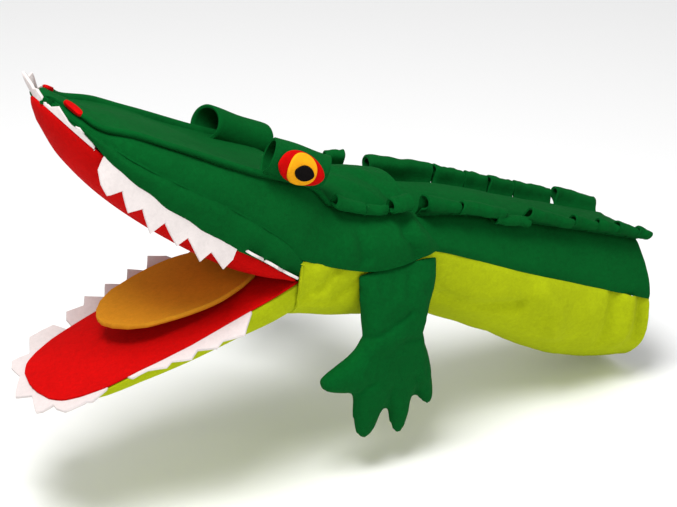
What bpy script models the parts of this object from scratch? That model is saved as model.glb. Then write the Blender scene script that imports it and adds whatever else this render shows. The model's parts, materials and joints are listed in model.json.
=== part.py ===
"""Crocodile glove puppet with a moving mouth, sewn from felt.

The snout points to -X, the arm opening faces +X, +Z is up and the animal's left is -Y.
The origin is the centre of the arm opening. Shapes are written in millimetres and
turned into metres by mm(). The felt panels are patches of smooth nets: each net is a
few cross-sections, and each cross-section has a few points across the animal's left
half, mirrored to the right half.
"""
import math

import bmesh
import bpy
from mathutils import Vector
from mathutils.geometry import delaunay_2d_cdt

# Driving dimensions, in millimetres and degrees.
FELT = 2.5                 # body felt
LINING = 1.6               # red mouth lining
TOOTH_FELT = 2.0           # white felt of the teeth
BOARD = 2.0                # stiff boards of the mouth
TONGUE = 3.5               # stiff tongue felt
GAP = 0.4                  # clearance between neighbouring pieces
SEAM_STEP = FELT + GAP     # a panel that meets another at a corner stops this far short

MOUTH = (-303.0, 104.0)    # X and Z of the mouth hinge
UPPER_LENGTH = 217.0       # upper jaw, hinge to snout tip along the lip
LIP_SLOPE = 37.0           # upward slope of the upper lip at the hinge
LIP_CURL = 15.0            # extra slope of the lip at the snout tip
JAW_DROP = 19.0            # downward slope of the lower jaw at rest
TONGUE_RISE = 8.0          # angle of the tongue above the lower lining at rest
TONGUE_ROOT = 20.0         # hinge to the tongue's root
SLEEVE_SLOPE = 0.4205      # rise of the sleeve's axis for each millimetre towards the head
LEG_PIVOT = (55.0, 103.0)  # distance from the middle, and height, of the foreleg seams
LEG_SPREAD = 72.0          # how far the right foreleg is swung outwards at rest

UPPER_WIDTH = ((0, 55), (25, 56), (50, 55), (90, 51), (130, 46), (160, 41),
               (180, 36), (195, 29), (207, 20), (214, 11), (217, 4))
LOWER_WIDTH = ((0, 54), (20, 55), (42, 54), (70, 53), (95, 52), (120, 50),
               (149, 45), (165, 38), (175, 31), (181, 21), (184, 6))
PALATE_BULGE = ((0, 1.7), (8, 3.5), (20, 10), (35, 17), (60, 21), (100, 22), (140, 20),
                (175, 14), (200, 7), (217, 2))
JAW_DEPTH = ((0, 37), (25, 36), (50, 32), (100, 25), (140, 18), (170, 10), (184, 5))

DARK_GREEN = (0.010, 0.145, 0.030)
LIME = (0.420, 0.480, 0.020)
RED = (0.600, 0.006, 0.004)
WHITE = (0.800, 0.750, 0.730)
TONGUE_BROWN = (0.530, 0.220, 0.018)
EYE_ORANGE = (0.760, 0.280, 0.012)
PUPIL = (0.012, 0.010, 0.010)
CARD = (0.500, 0.420, 0.300)
WADDING = (0.750, 0.740, 0.700)
ELASTIC = (0.060, 0.060, 0.060)


def mm(point):
    return Vector(point) * 0.001


def between(table, x):
    """Straight-line value of a table of (x, value) pairs."""
    for (x0, a), (x1, b) in zip(table, table[1:]):
        if x <= x1:
            return a + (b - a) * max(0.0, (x - x0) / (x1 - x0))
    return table[-1][1]


def spline(points, t):
    """Catmull-Rom curve through points, at t from 0 to len(points) - 1."""
    last = len(points) - 1
    i = min(max(int(t), 0), last - 1)
    f = t - i
    p1 = Vector(points[i])
    p2 = Vector(points[i + 1])
    p0 = Vector(points[i - 1]) if i > 0 else p1 * 2 - p2
    p3 = Vector(points[i + 2]) if i + 2 <= last else p2 * 2 - p1
    return 0.5 * (2 * p1 + (p2 - p0) * f + (2 * p0 - 5 * p1 + 4 * p2 - p3) * f * f
                  + (3 * p1 - p0 - 3 * p2 + p3) * f ** 3)


def net(rows, u, v):
    """Point of a net: u runs along the rows, v across each row."""
    return spline([spline(row, v) for row in rows], u)


def net_normal(rows, u, v, away):
    """Unit normal of a net, pointing away from the point `away`."""
    step = 0.02
    u0 = min(max(u, step), len(rows) - 1 - step)
    v0 = min(max(v, step), len(rows[0]) - 1 - step)
    along = net(rows, u0 + step, v0) - net(rows, u0 - step, v0)
    across = net(rows, u0, v0 + step) - net(rows, u0, v0 - step)
    n = along.cross(across).normalized()
    return n if n.dot(net(rows, u0, v0) - away) > 0 else -n


def steps(a, b, count):
    return [a + (b - a) * i / count for i in range(count + 1)]


def felt(name, color, roughness=0.95):
    material = bpy.data.materials.new(name)
    material.use_nodes = True
    shader = material.node_tree.nodes["Principled BSDF"]
    shader.inputs["Base Color"].default_value = (*color, 1.0)
    shader.inputs["Roughness"].default_value = roughness
    shader.inputs["Metallic"].default_value = 0.0
    return material


def add_object(name, verts, faces, material, pivot=(0, 0, 0), smooth=True):
    """A mesh object from points in millimetres, with its origin at the pivot."""
    mesh = bpy.data.meshes.new(name)
    mesh.from_pydata([mm(v) - mm(pivot) for v in verts], [], faces)
    bm = bmesh.new()
    bm.from_mesh(mesh)
    bmesh.ops.recalc_face_normals(bm, faces=bm.faces)
    bm.to_mesh(mesh)
    bm.free()
    if smooth:
        mesh.shade_smooth()
        mesh.set_sharp_from_angle(angle=math.radians(40))
    mesh.materials.append(material)
    obj = bpy.data.objects.new(name, mesh)
    obj.location = mm(pivot)
    bpy.context.collection.objects.link(obj)
    return obj


def slab(name, front, back, material, pivot=(0, 0, 0), ring=False):
    """A closed sheet between two equal grids of points. A ring closes on itself in v."""
    rows = len(front)
    cols = len(front[0])
    verts = [p for row in front for p in row] + [p for row in back for p in row]
    half = rows * cols
    faces = []
    span = cols if ring else cols - 1
    for i in range(rows - 1):
        for j in range(span):
            a = i * cols + j
            b = i * cols + (j + 1) % cols
            faces.append((a, b, b + cols, a + cols))
            faces.append((half + a, half + a + cols, half + b + cols, half + b))
    for i in (0, rows - 1):
        for j in range(span):
            a = i * cols + j
            b = i * cols + (j + 1) % cols
            faces.append((a, half + a, half + b, b))
    if not ring:
        for j in (0, cols - 1):
            for i in range(rows - 1):
                a = i * cols + j
                faces.append((a, a + cols, half + a + cols, half + a))
    return add_object(name, verts, faces, material, pivot)


def panel(name, rows, us, v0, v1, count, inset, material, inside, thickness=FELT, pivot=(0, 0, 0)):
    """A felt panel: a patch of a net, thickened inwards, held `inset` mm short of v0 and v1."""
    front = []
    back = []
    for u in us:
        speed0 = (net(rows, u, v0 + 0.05) - net(rows, u, v0)).length / 0.05
        speed1 = (net(rows, u, v1) - net(rows, u, v1 - 0.05)).length / 0.05
        start = v0 + inset[0] / max(speed0, 1.0)
        end = v1 - inset[1] / max(speed1, 1.0)
        outer = []
        inner = []
        for v in steps(start, end, count):
            point = net(rows, u, v)
            n = net_normal(rows, u, v, Vector(inside(point)))
            outer.append(point)
            inner.append(point - n * thickness)
        front.append(outer)
        back.append(inner)
    return slab(name, front, back, material, pivot)


def mirrored(rows):
    """The same cross-sections on the animal's other side."""
    return [[(p[0], -p[1], p[2]) for p in row] for row in rows]


def whole(rows):
    """Full cross-sections, right half to left half, from left halves that start at the middle."""
    full = []
    for row in rows:
        full.append([(p[0], -p[1], p[2]) for p in reversed(row[1:])] + list(row))
    return full


# Frames of the two jaws.

def lip_slope(d):
    return math.radians(LIP_SLOPE + LIP_CURL * (max(d, 0.0) / UPPER_LENGTH) ** 1.8)


def lip(d):
    """X and Z of the upper lip at the distance d from the mouth hinge."""
    x, z = MOUTH
    count = 24
    for i in range(count):
        slope = lip_slope((i + 0.5) * d / count)
        x -= math.cos(slope) * d / count
        z += math.sin(slope) * d / count
    return x, z


def upper(d, y, h):
    """A point of the upper jaw: d along the lip, y across, h above the lip's plane."""
    x, z = lip(d)
    slope = lip_slope(d)
    return (x + math.sin(slope) * h, y, z + math.cos(slope) * h)


def lower(d, y, k):
    """A point of the lower jaw: d along it, y across, k above its rim."""
    drop = math.radians(JAW_DROP)
    return (MOUTH[0] - math.cos(drop) * d - math.sin(drop) * k, y,
            MOUTH[1] - math.sin(drop) * d + math.cos(drop) * k)


def sleeve_axis(x):
    return -SLEEVE_SLOPE * x


# Cross-sections of the head, from the middle of the top to the seams, left half.

def head_rows():
    """Columns: middle of the top, quarter, ridge seam, side, gusset or throat seam."""
    snout = (
        # d, top, ridge height, ridge y, side height, side y, seam height, seam y
        (212, 8, 7.5, 7, 6.6, 10, 5.6, 12),
        (198, 13, 12, 17, 9, 23.5, 5.8, 27),
        (183, 19, 18, 28, 12, 33, 6.5, 36),
        (160, 29, 28, 34, 20, 41.5, 9, 45),
        (130, 37, 37, 37, 27, 47.5, 13.5, 51),
        (80, 46, 47, 41, 35, 53, 20, 57),
        (30, 58, 58, 43, 39, 57, 19, 59.5))
    rows = []
    for d, top, ridge, ridge_y, side, side_y, seam, seam_y in snout:
        rows.append([upper(d, 0, top), upper(d, -ridge_y * 0.5, top * 0.6 + ridge * 0.4),
                     upper(d, -ridge_y, ridge), upper(d, -side_y, side), upper(d, -seam_y, seam)])
    rows.append([(-271, 0, 159), (-272, -23, 157), (-275, -43, 151), (-289, -57, 137), (-302, -58.5, 121)])
    rows.append([(-247, 0, 154), (-248, -22, 151), (-251, -43, 141), (-257, -58, 128), (-262, -58, 114)])
    rows.append([(-226, 0, 150), (-227, -21, 146), (-229, -42, 135), (-231, -57.5, 124), (-232, -57.5, 113)])
    rows.append([(-206, 0, 145), (-206, -20, 141), (-207, -39, 130), (-206, -54.5, 121), (-204, -55.5, 113)])
    return rows


def gusset_rows():
    """Columns: gusset seam, bulge, lip edge. Rows run from the snout's tip to the mouth corner."""
    rows = []
    for d, seam, seam_y in ((183, 6.5, 36), (160, 9, 45), (130, 13.5, 51), (80, 20, 57), (30, 19, 59.5)):
        w = between(UPPER_WIDTH, d)
        rows.append([upper(d, -seam_y, seam), upper(d, -(seam_y + w) / 2 - 1, (seam + 2.9) / 2),
                     upper(d, -w, 2.9)])
    rows.append([(-301.5, -58.5, 120), (-300.5, -57.5, 113), (-300, -55.5, 107)])
    return rows


def throat_rows():
    """Columns: middle of the underside, lower flank, flank, seam under the cheek."""
    return [
        [(-287, 0, 63), (-289, -30, 67), (-296, -52, 84), (-298.5, -57, 104), (-300.5, -58, 119.5)],
        [(-272, 0, 58), (-274, -30, 62), (-280, -52, 80), (-281, -57, 100), (-281, -58, 116)],
        [(-256, 0, 54), (-258, -30, 58), (-264, -51, 76), (-265, -56, 96), (-266, -57.5, 113)],
        [(-243, 0, 51), (-246, -27, 55), (-254, -44, 75), (-259, -53, 92), (-264, -57, 105)]]


def torso_rows():
    """Columns: top, back seam, upper side, side seam, flank, lower flank, middle of the belly."""
    stations = (
        # x, top, back seam height and y, side height and y, seam height and y,
        #    flank height and y, lower flank height and y, belly height
        (4, 52, 48, 26, 32, 43, 13.5, 46.5, -16, 44, -39, 27, -50),
        (-40, 52, 46, 27, 31, 43.5, 14, 47.5, -18, 46, -45, 29, -59),
        (-80, 51, 43.5, 27, 30, 44, 14.5, 48, -18, 46, -46, 29, -59),
        (-120, 51, 42.5, 28, 29, 44, 15, 48, -15, 45.5, -41, 28, -51.5),
        (-160, 51, 42, 30, 29, 44.5, 17, 48.5, -12, 45, -35, 28, -46.5),
        (-190, 49, 39, 31, 28, 45, 18, 49.5, -10, 45, -33, 27, -43),
        (-212, 45, 35, 31, 25, 45, 14, 49.5, -9, 44, -31, 26, -40.5),
        (-236, 41, 31, 30, 21, 44, 9, 49, -8, 42, -27, 25, -36))
    rows = []
    for x, top, back, back_y, side, side_y, seam, seam_y, flank, flank_y, low, low_y, belly in stations:
        z = sleeve_axis(x)
        rows.append([(x, 0, z + top), (x, -back_y * 0.5, z + (top * 0.75 + back * 0.25)),
                     (x, -back_y, z + back), (x, -side_y, z + side), (x, -seam_y, z + seam),
                     (x, -flank_y, z + flank), (x, -low_y, z + low), (x, 0, z + belly)])
    return rows


def head_inside(point):
    """A point on the head's middle line, level with the point and well inside the felt."""
    d = min(max((MOUTH[0] - point[0]) / 0.76, 0.0), UPPER_LENGTH)
    inner = upper(d, 0, 2.0)
    return (inner[0], 0, inner[2]) if d > 20 else (point[0], 0, 108)


def sleeve_inside(point):
    return (point[0], 0, sleeve_axis(point[0]))


# Head.

def build_head_skin(green):
    rows = head_rows()
    top = whole([row[:3] for row in rows])
    us = steps(0, 10, 17)
    panel("head_top_panel", top, us, 0, 4, 8, (0, 0), green, head_inside)
    side = [row[2:] for row in rows]
    for name, half in (("left", side), ("right", mirrored(side))):
        panel("head_side_panel_" + name, half, us, 0, 2, 5, (SEAM_STEP + 0.4, 0), green, head_inside)


def build_lip_gussets(green):
    rows = gusset_rows()
    for name, half in (("left", rows), ("right", mirrored(rows))):
        panel("lip_gusset_" + name, half, steps(0.2, 5, 10), 0, 2, 3, (2.7, 0), green, head_inside)


def build_throat(lime):
    panel("throat_panel", whole(throat_rows()), steps(0.05, 3, 6), 0, 8, 16, (1.0, 1.0), lime, head_inside)


def palate_depth(d, share):
    """Depth of the lining under the lip's plane, at a share of the half-width."""
    crown = max(1.0 - share * share, 0.0) ** 0.8
    return LINING + (between(PALATE_BULGE, d) - LINING) * crown


def build_palate(red, card, wadding):
    lining_front = []
    lining_back = []
    for d in steps(6, 216, 15):
        w = between(UPPER_WIDTH, d) - 0.8
        shares = steps(-1, 1, 8)
        lining_front.append([upper(d, w * s, -palate_depth(d, s)) for s in shares])
        lining_back.append([upper(d, w * s, LINING - palate_depth(d, s)) for s in shares])
    slab("palate_lining", lining_front, lining_back, red)
    pad_front = []
    pad_back = []
    board_front = []
    board_back = []
    for d in steps(30, 202, 11):
        w = between(UPPER_WIDTH, d)
        inner = w - 5.5
        ys = steps(-inner, inner, 8)
        pad_back.append([upper(d, y, 0.3) for y in ys])
        pad_front.append([upper(d, y, LINING + 1.7 - palate_depth(d, y / (w - 0.8))) for y in ys])
        board_front.append([upper(d, y, 0.6 + BOARD) for y in ys])
        board_back.append([upper(d, y, 0.6) for y in ys])
    slab("palate_pad", pad_front, pad_back, wadding)
    slab("palate_board", board_front, board_back, card)


def build_snout_wadding(wadding):
    """Loose filling in front of the fingers, between the board and the felt."""
    rows = head_rows()
    rings = []
    for u in steps(1.3, 4.1, 6):
        d = between(((0, 212), (1, 198), (2, 183), (3, 160), (4, 130), (5, 80)), u)
        w = between(UPPER_WIDTH, d) - 6
        middle = Vector(upper(d, 0, 3.4))
        ring = [upper(d, -w, 3.4)]
        for v in (3.0, 2.0, 1.0, 0.0):
            p = net(rows, u, v)
            inward = (middle + Vector((0, p.y * 0.3, 0)) - p).normalized()
            ring.append(tuple(p + inward * (5.0 if v else 4.5)))
        ring += [(p[0], -p[1], p[2]) for p in reversed(ring[:-1])]
        rings.append(ring)
    add_tube("snout_wadding", rings, wadding)


def add_tube(name, rings, material, pivot=(0, 0, 0)):
    """A closed solid through equal rings of points, capped with a fan at both ends."""
    count = len(rings[0])
    verts = [p for ring in rings for p in ring]
    faces = []
    for i in range(len(rings) - 1):
        for j in range(count):
            a = i * count + j
            b = i * count + (j + 1) % count
            faces.append((a, b, b + count, a + count))
    for ring_index in (0, len(rings) - 1):
        centre = sum((Vector(p) for p in rings[ring_index]), Vector()) / count
        verts.append(tuple(centre))
        for j in range(count):
            a = ring_index * count + j
            b = ring_index * count + (j + 1) % count
            faces.append((a, b, len(verts) - 1))
    return add_object(name, verts, faces, material, pivot)


def build_strap(name, frame, d0, d1, half_width, height, base, material, pivot):
    """An elastic loop over a board, with its two feet on the board."""
    thickness = 1.5
    outer = []
    inner = []
    for d in (d0, d1):
        outer_row = []
        inner_row = []
        for angle in steps(0, math.pi, 12):
            y = math.cos(angle)
            lift = math.sin(angle) ** 0.7
            outer_row.append(frame(d, y * half_width, base + lift * height))
            inner_row.append(frame(d, y * (half_width - thickness),
                                   base + lift * (height - math.copysign(thickness, height))))
        outer.append(outer_row)
        inner.append(inner_row)
    slab(name, outer, inner, material, pivot)


# Teeth: strips of white felt with a zigzag edge.

def zigzag(name, roots, outs, normals, material, pivot=(0, 0, 0)):
    """A strip from root points to zigzag points, thickened along the normals."""
    front = [[tuple(r), tuple(o)] for r, o in zip(roots, outs)]
    back = [[tuple(Vector(r) + n * TOOTH_FELT), tuple(Vector(o) + n * TOOTH_FELT)]
            for r, o, n in zip(roots, outs, normals)]
    slab(name, front, back, material, pivot)


def edge_way(frame, width, d, side, off=0.0):
    """Outward direction of a jaw's rim at d, in the rim's plane."""
    step = 1.0
    a = Vector(frame(d - step, side * between(width, d - step), off))
    b = Vector(frame(d + step, side * between(width, d + step), off))
    along = (b - a).normalized()
    up = (Vector(frame(d, 0, 1)) - Vector(frame(d, 0, 0))).normalized()
    return along.cross(up).normalized() * side


def build_hanging_teeth(white, side, name):
    """Six teeth hanging from the upper lip, splayed outwards."""
    teeth = 6
    start = 181.0
    end = 62.0
    splay = math.radians(20)
    roots = []
    outs = []
    normals = []
    for i in range(2 * teeth + 1):
        d = start + (end - start) * i / (2 * teeth)
        w = between(UPPER_WIDTH, d) + 0.4
        out = edge_way(upper, UPPER_WIDTH, d, side)
        down = (Vector(upper(d, 0, -1)) - Vector(upper(d, 0, 0))).normalized()
        hang = (down * math.cos(splay) + out * math.sin(splay)).normalized()
        face = (out * math.cos(splay) - down * math.sin(splay)).normalized()
        size = between(((0, 36), (3, 33), (6, 26)), i / 2)
        length = size if i % 2 else size * 0.55
        root = Vector(upper(d, side * w, 2.0)) + out * 0.3
        roots.append(root)
        outs.append(root + hang * length)
        normals.append(face)
    zigzag(name, roots, outs, normals, white)


def build_flat_teeth(name, white, frame, width, ds, sides, level, tall, base, curl=0.0, pivot=(0, 0, 0)):
    """Teeth that lie in the plane of a jaw's rim and point outwards."""
    roots = []
    outs = []
    normals = []
    for i, (d, side) in enumerate(zip(ds, sides)):
        w = between(width, d)
        sign = math.copysign(1, side)
        out = edge_way(frame, width, d, sign)
        up = (Vector(frame(d, 0, 1)) - Vector(frame(d, 0, 0))).normalized()
        rim = Vector(frame(d, abs(side) * sign * w, level))
        tilt = (out + up * curl).normalized()
        roots.append(rim - out * 1.8)
        outs.append(rim + tilt * (tall if i % 2 else base))
        normals.append(up)
    zigzag(name, roots, outs, normals, white, pivot)


def build_upper_teeth(white):
    for side, name in ((-1, "left"), (1, "right")):
        build_hanging_teeth(white, side, "upper_side_teeth_" + name)
        ds = steps(57, 9, 6)
        build_flat_teeth("upper_rear_teeth_" + name, white, upper, UPPER_WIDTH, ds, [side] * 7,
                         0.4, 10, 3)
    half = (185, 193, 200, 206, 211, 214.5)
    ds = list(half) + [216.6] + list(reversed(half))
    sides = [-1] * 6 + [-0.001] + [1] * 6
    build_flat_teeth("upper_front_teeth", white, upper, UPPER_WIDTH, ds, sides, 0.4, 16, 6, 0.2)


# Eyes and nostrils.

def ridge_frame(side):
    """Origin and unit vectors of an eye roll: along the ridge, outwards, up."""
    front = Vector((-319, side * 41, 196.0))
    rear = Vector((-278, side * 42, 175.8))
    along = (rear - front).normalized()
    across = Vector((0, side, 0))
    up = along.cross(across).normalized()
    if up.z < 0:
        up = -up
    return front, rear, along, across, up


def build_eye(side, name, green, red, orange, black):
    """A rolled felt tube on the ridge, with the eye's three felt layers on its outer face."""
    front, rear, along, across, up = ridge_frame(side)
    radius = 11.0
    outer = []
    inner = []
    for t in steps(0, 1, 2):
        centre = front.lerp(rear, t)
        angles = [2 * math.pi * i / 20 for i in range(20)]
        ring = [across * math.cos(a) + up * math.sin(a) for a in angles]
        outer.append([tuple(centre + r * radius) for r in ring])
        inner.append([tuple(centre + r * (radius - FELT)) for r in ring])
    slab("eye_roll_" + name, outer, inner, green, ring=True)

    middle = front.lerp(rear, 0.41)

    def on_roll(a, b, h):
        """a along the roll, b around it, h above its face."""
        angle = math.radians(2) + b / radius
        way = across * math.cos(angle) + up * math.sin(angle)
        return tuple(middle + along * a + way * (radius + h))

    layers = (("eye_rim_", red, 20.0, 11.0, 1.6, 0.5, 1.8, 0.0, 0.0),
              ("eye_disc_", orange, 12.5, 10.5, 2.0, 2.2, 3.5, 0.0, 0.0),
              ("eye_pupil_", black, 8.0, 4.6, 1.6, 3.9, 5.1, 1.2, -0.5))
    for prefix, material, a_size, b_size, power, h0, h1, a0, b0 in layers:
        patch(prefix + name, on_roll, a_size, b_size, power, h0, h1, a0, b0, material)


def patch(name, surface, a_size, b_size, power, h0, h1, a0, b0, material):
    """A felt shape laid on a surface. Power 2 is an ellipse, and less is an almond."""
    count = 20
    fronts = []
    backs = []
    for share in (0.001, 0.55, 1.0):
        front = []
        back = []
        for i in range(count):
            angle = 2 * math.pi * i / count
            a = math.cos(angle)
            b = math.copysign(abs(math.sin(angle)) ** (2 / power), math.sin(angle))
            front.append(surface(a0 + a * a_size * share, b0 + b * b_size * share, h1))
            back.append(surface(a0 + a * a_size * share, b0 + b * b_size * share, h0))
        fronts.append(front)
        backs.append(back)
    lid(name, fronts, backs, material)


def lid(name, fronts, backs, material):
    """A closed round plate from rings of points, with both middles filled."""
    count = len(fronts[0])
    verts = [p for ring in fronts[1:] for p in ring] + [p for ring in backs[1:] for p in ring]
    half = count * (len(fronts) - 1)
    verts.append(tuple(sum((Vector(p) for p in fronts[0]), Vector()) / count))
    verts.append(tuple(sum((Vector(p) for p in backs[0]), Vector()) / count))
    faces = []
    for j in range(count):
        k = (j + 1) % count
        faces.append((j, k, 2 * half))
        faces.append((half + k, half + j, 2 * half + 1))
        for i in range(len(fronts) - 2):
            a = i * count + j
            b = i * count + k
            faces.append((a, a + count, b + count, b))
            faces.append((half + a, half + b, half + b + count, half + a + count))
        outer = half - count
        faces.append((outer + j, half + outer + j, half + outer + k, outer + k))
    add_object(name, verts, faces, material)


def build_nostril(side, name, red):
    rows = whole([row[:3] for row in head_rows()])

    def on_snout(a, b, h):
        u = 1.0 + a / 15.0
        v = 2 + side * 1.4 + b / 9.0
        n = net_normal(rows, u, v, Vector(upper(190, 0, 0)))
        return tuple(net(rows, u, v) + n * h)

    patch("nostril_" + name, on_snout, 4.8, 4.8, 2.0, 0.4, 1.6, 0.0, 0.0, red)


# Frills: pleated strips sewn into the back and head seams.

def build_frill(name, path, pleats, height, depth, material):
    """A strip that snakes along a seam. Its height stands up from the seam."""
    thickness = 2.0
    front = []
    back = []
    count = pleats * 4
    for i in range(count + 1):
        t = i / count
        seam, along, up, out = path(t)
        swing = math.sin(2 * math.pi * pleats * t)
        low = seam + up * 1.0
        high = seam + up * height + out * swing * depth
        lean = (along * (-math.cos(2 * math.pi * pleats * t)) * 0.5 + out).normalized()
        front.append([tuple(low + out * (swing * depth * 0.4)), tuple(high)])
        back.append([tuple(low + out * (swing * depth * 0.4) + lean * thickness), tuple(high + lean * thickness)])
    slab(name, front, back, material)


def seam_path(rows, column, u0, u1, side, lift):
    """A walk along a net's column, with the strip's directions at each step."""
    def walk(t):
        u = u0 + (u1 - u0) * t
        p = net(rows, u, column)
        q = net(rows, u + 0.05, column)
        along = (q - p).normalized()
        out = Vector((0, -1.0, 0))
        up = (Vector((0, 0, 1)) - along * along.z + out * 0.25).normalized()
        seam = p + up * lift
        if side > 0:
            seam.y, along.y, up.y, out.y = -seam.y, -along.y, -up.y, -out.y
        return seam, along, up, out
    return walk


def build_frills(green):
    torso = torso_rows()
    head = head_rows()
    for side, name in ((-1, "left"), (1, "right")):
        build_frill("back_frill_" + name, seam_path(torso, 2, 0.05, 4.75, side, 0.8), 9, 13.5, 3.5, green)
        build_frill("head_frill_" + name, seam_path(head, 2, 7.35, 9.7, side, 0.8), 3, 11.0, 3.0, green)


# Lower jaw and tongue.

def build_jaw(lime, red, card):
    pivot = (MOUTH[0], 0, MOUTH[1])
    lining_front = []
    lining_back = []
    for d in steps(6, 183.5, 12):
        w = between(LOWER_WIDTH, d) - 0.8
        ys = [w * s for s in steps(-1, 1, 8)]
        lining_front.append([lower(d, y, LINING) for y in ys])
        lining_back.append([lower(d, y, 0) for y in ys])
    slab("jaw_lining", lining_front, lining_back, red, pivot)
    board_front = []
    board_back = []
    for d in steps(10, 174, 12):
        w = between(LOWER_WIDTH, d) - 5.5
        ys = [w * s for s in steps(-1, 1, 4)]
        board_front.append([lower(d, y, -0.4) for y in ys])
        board_back.append([lower(d, y, -0.4 - BOARD) for y in ys])
    slab("jaw_board", board_front, board_back, card, pivot)
    under_front = []
    under_back = []
    for d in steps(6, 184, 12):
        w = between(LOWER_WIDTH, d)
        depth = between(JAW_DEPTH, d)
        outer = []
        inner = []
        for angle in steps(0, math.pi, 12):
            y = math.cos(angle)
            sag = math.sin(angle) ** 0.9
            outer.append(lower(d, y * w, -2.9 - sag * (depth - 2.9)))
            inner.append(lower(d, y * max(w - FELT, 1.5), -2.9 - sag * max(depth - 2.9 - FELT, 0.4)))
        under_front.append(outer)
        under_back.append(inner)
    slab("jaw_underside", under_front, under_back, lime, pivot)


def build_lower_teeth(white):
    pivot = (MOUTH[0], 0, MOUTH[1])
    for side, name in ((-1, "left"), (1, "right")):
        ds = steps(150, 42, 10)
        build_flat_teeth("lower_side_teeth_" + name, white, lower, LOWER_WIDTH, ds, [side] * 11,
                         -2.5, 15, 5, 0.0, pivot)
    half = (155, 162, 168, 173.5, 178, 181)
    ds = list(half) + [183.0] + list(reversed(half))
    sides = [-1] * 6 + [-0.001] + [1] * 6
    build_flat_teeth("lower_front_teeth", white, lower, LOWER_WIDTH, ds, sides, -2.5, 16, 6, 0.0, pivot)


def build_tongue(brown):
    """A long stiff tongue, sewn down at its root and springing up from the lining."""
    rise = math.radians(TONGUE_RISE)
    base = 2.4
    length = 110.0
    root_point = Vector(lower(TONGUE_ROOT, 0, base))
    along = Vector(lower(1, 0, 0)) - Vector(lower(0, 0, 0))
    up = Vector(lower(0, 0, 1)) - Vector(lower(0, 0, 0))
    way = (along * math.cos(rise) + up * math.sin(rise)).normalized()
    lift = (up * math.cos(rise) - along * math.sin(rise)).normalized()
    widths = ((0, 30), (12, 34), (35, 37), (62, 35.5), (92, 29), (106, 20), (114, 12), (118, 3))
    front = []
    back = []
    for a in list(steps(0, 100, 8)) + [106, 111, 115, 118]:
        w = between(widths, a * length / 118.0)
        ys = steps(-w, w, 4)
        front.append([tuple(root_point + way * a + Vector((0, y, 0)) + lift * TONGUE) for y in ys])
        back.append([tuple(root_point + way * a + Vector((0, y, 0))) for y in ys])
    slab("tongue", front, back, brown, tuple(root_point))


# Torso.

def build_torso(green, lime):
    rows = torso_rows()
    us = steps(0, 7, 12)
    top_first = whole(rows)
    belly_first = whole([list(reversed(row)) for row in rows])
    panel("back_panel", top_first, us, 5, 9, 6, (0, 0), green, sleeve_inside)
    panel("side_panel_right", top_first, us, 3, 5, 4, (0, SEAM_STEP), green, sleeve_inside)
    panel("side_panel_left", top_first, us, 9, 11, 4, (SEAM_STEP, 0), green, sleeve_inside)
    panel("belly_panel", belly_first, us, 4, 10, 14, (GAP, GAP), lime, sleeve_inside)


# Forelegs.

LEG_OUTLINE = ((-260, 101), (-230, 101), (-200, 101), (-198, 88), (-201, 70), (-206, 46), (-201, 26),
               (-198, 6), (-197, -10), (-201, -14), (-214, -1), (-219, -20), (-223, -30), (-229, -28),
               (-239, -10), (-252, -24), (-259, -26), (-264, -18), (-267, 12), (-284, 19),
               (-291, 25), (-287, 31), (-265, 44), (-258, 52), (-259, 77), (-261, 92))
STUFFING_OUTLINE = ((-255, 96), (-230, 96), (-205, 96), (-204, 88), (-206, 70), (-211, 46),
                    (-206, 26), (-204, 6), (-215, 4), (-221, -12), (-226, -20), (-237, -4),
                    (-250, -16), (-258, -18), (-260, 17), (-270, 23), (-270, 30), (-260, 38),
                    (-253, 50), (-254, 77), (-255, 90))


def outline_at(points, inset):
    """The outline moved inwards by inset, except that its top edge stays open."""
    count = len(points)
    moved = []
    for i in range(count):
        p = Vector(points[i])
        a = (p - Vector(points[i - 1])).normalized()
        b = (Vector(points[(i + 1) % count]) - p).normalized()
        way = Vector((a.y + b.y, -a.x - b.x)).normalized()
        moved.append(p - way * -inset)
    return moved


def edge_distance(point, outline):
    """Distance to the outline, leaving out its top edge."""
    best = 1e9
    count = len(outline)
    for i in range(2, count):
        a = Vector(outline[i])
        b = Vector(outline[(i + 1) % count])
        t = min(max((point - a).dot(b - a) / (b - a).length_squared, 0.0), 1.0)
        best = min(best, (point - a.lerp(b, t)).length)
    return best


def leg_thickness(x, z, distance, thinner):
    """Half thickness of a stuffed foreleg: fullest in the middle, flat at the top seam."""
    full = between(((-30, 5.5), (0, 7.0), (30, 9.0), (60, 10.0), (85, 6.0), (101, 2.8)), z)
    round_off = math.sqrt(max(1.0 - (1.0 - min(distance / 13.0, 1.0)) ** 2, 0.0))
    return max(full * (0.12 + 0.88 * round_off) - thinner, 0.35)


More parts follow.
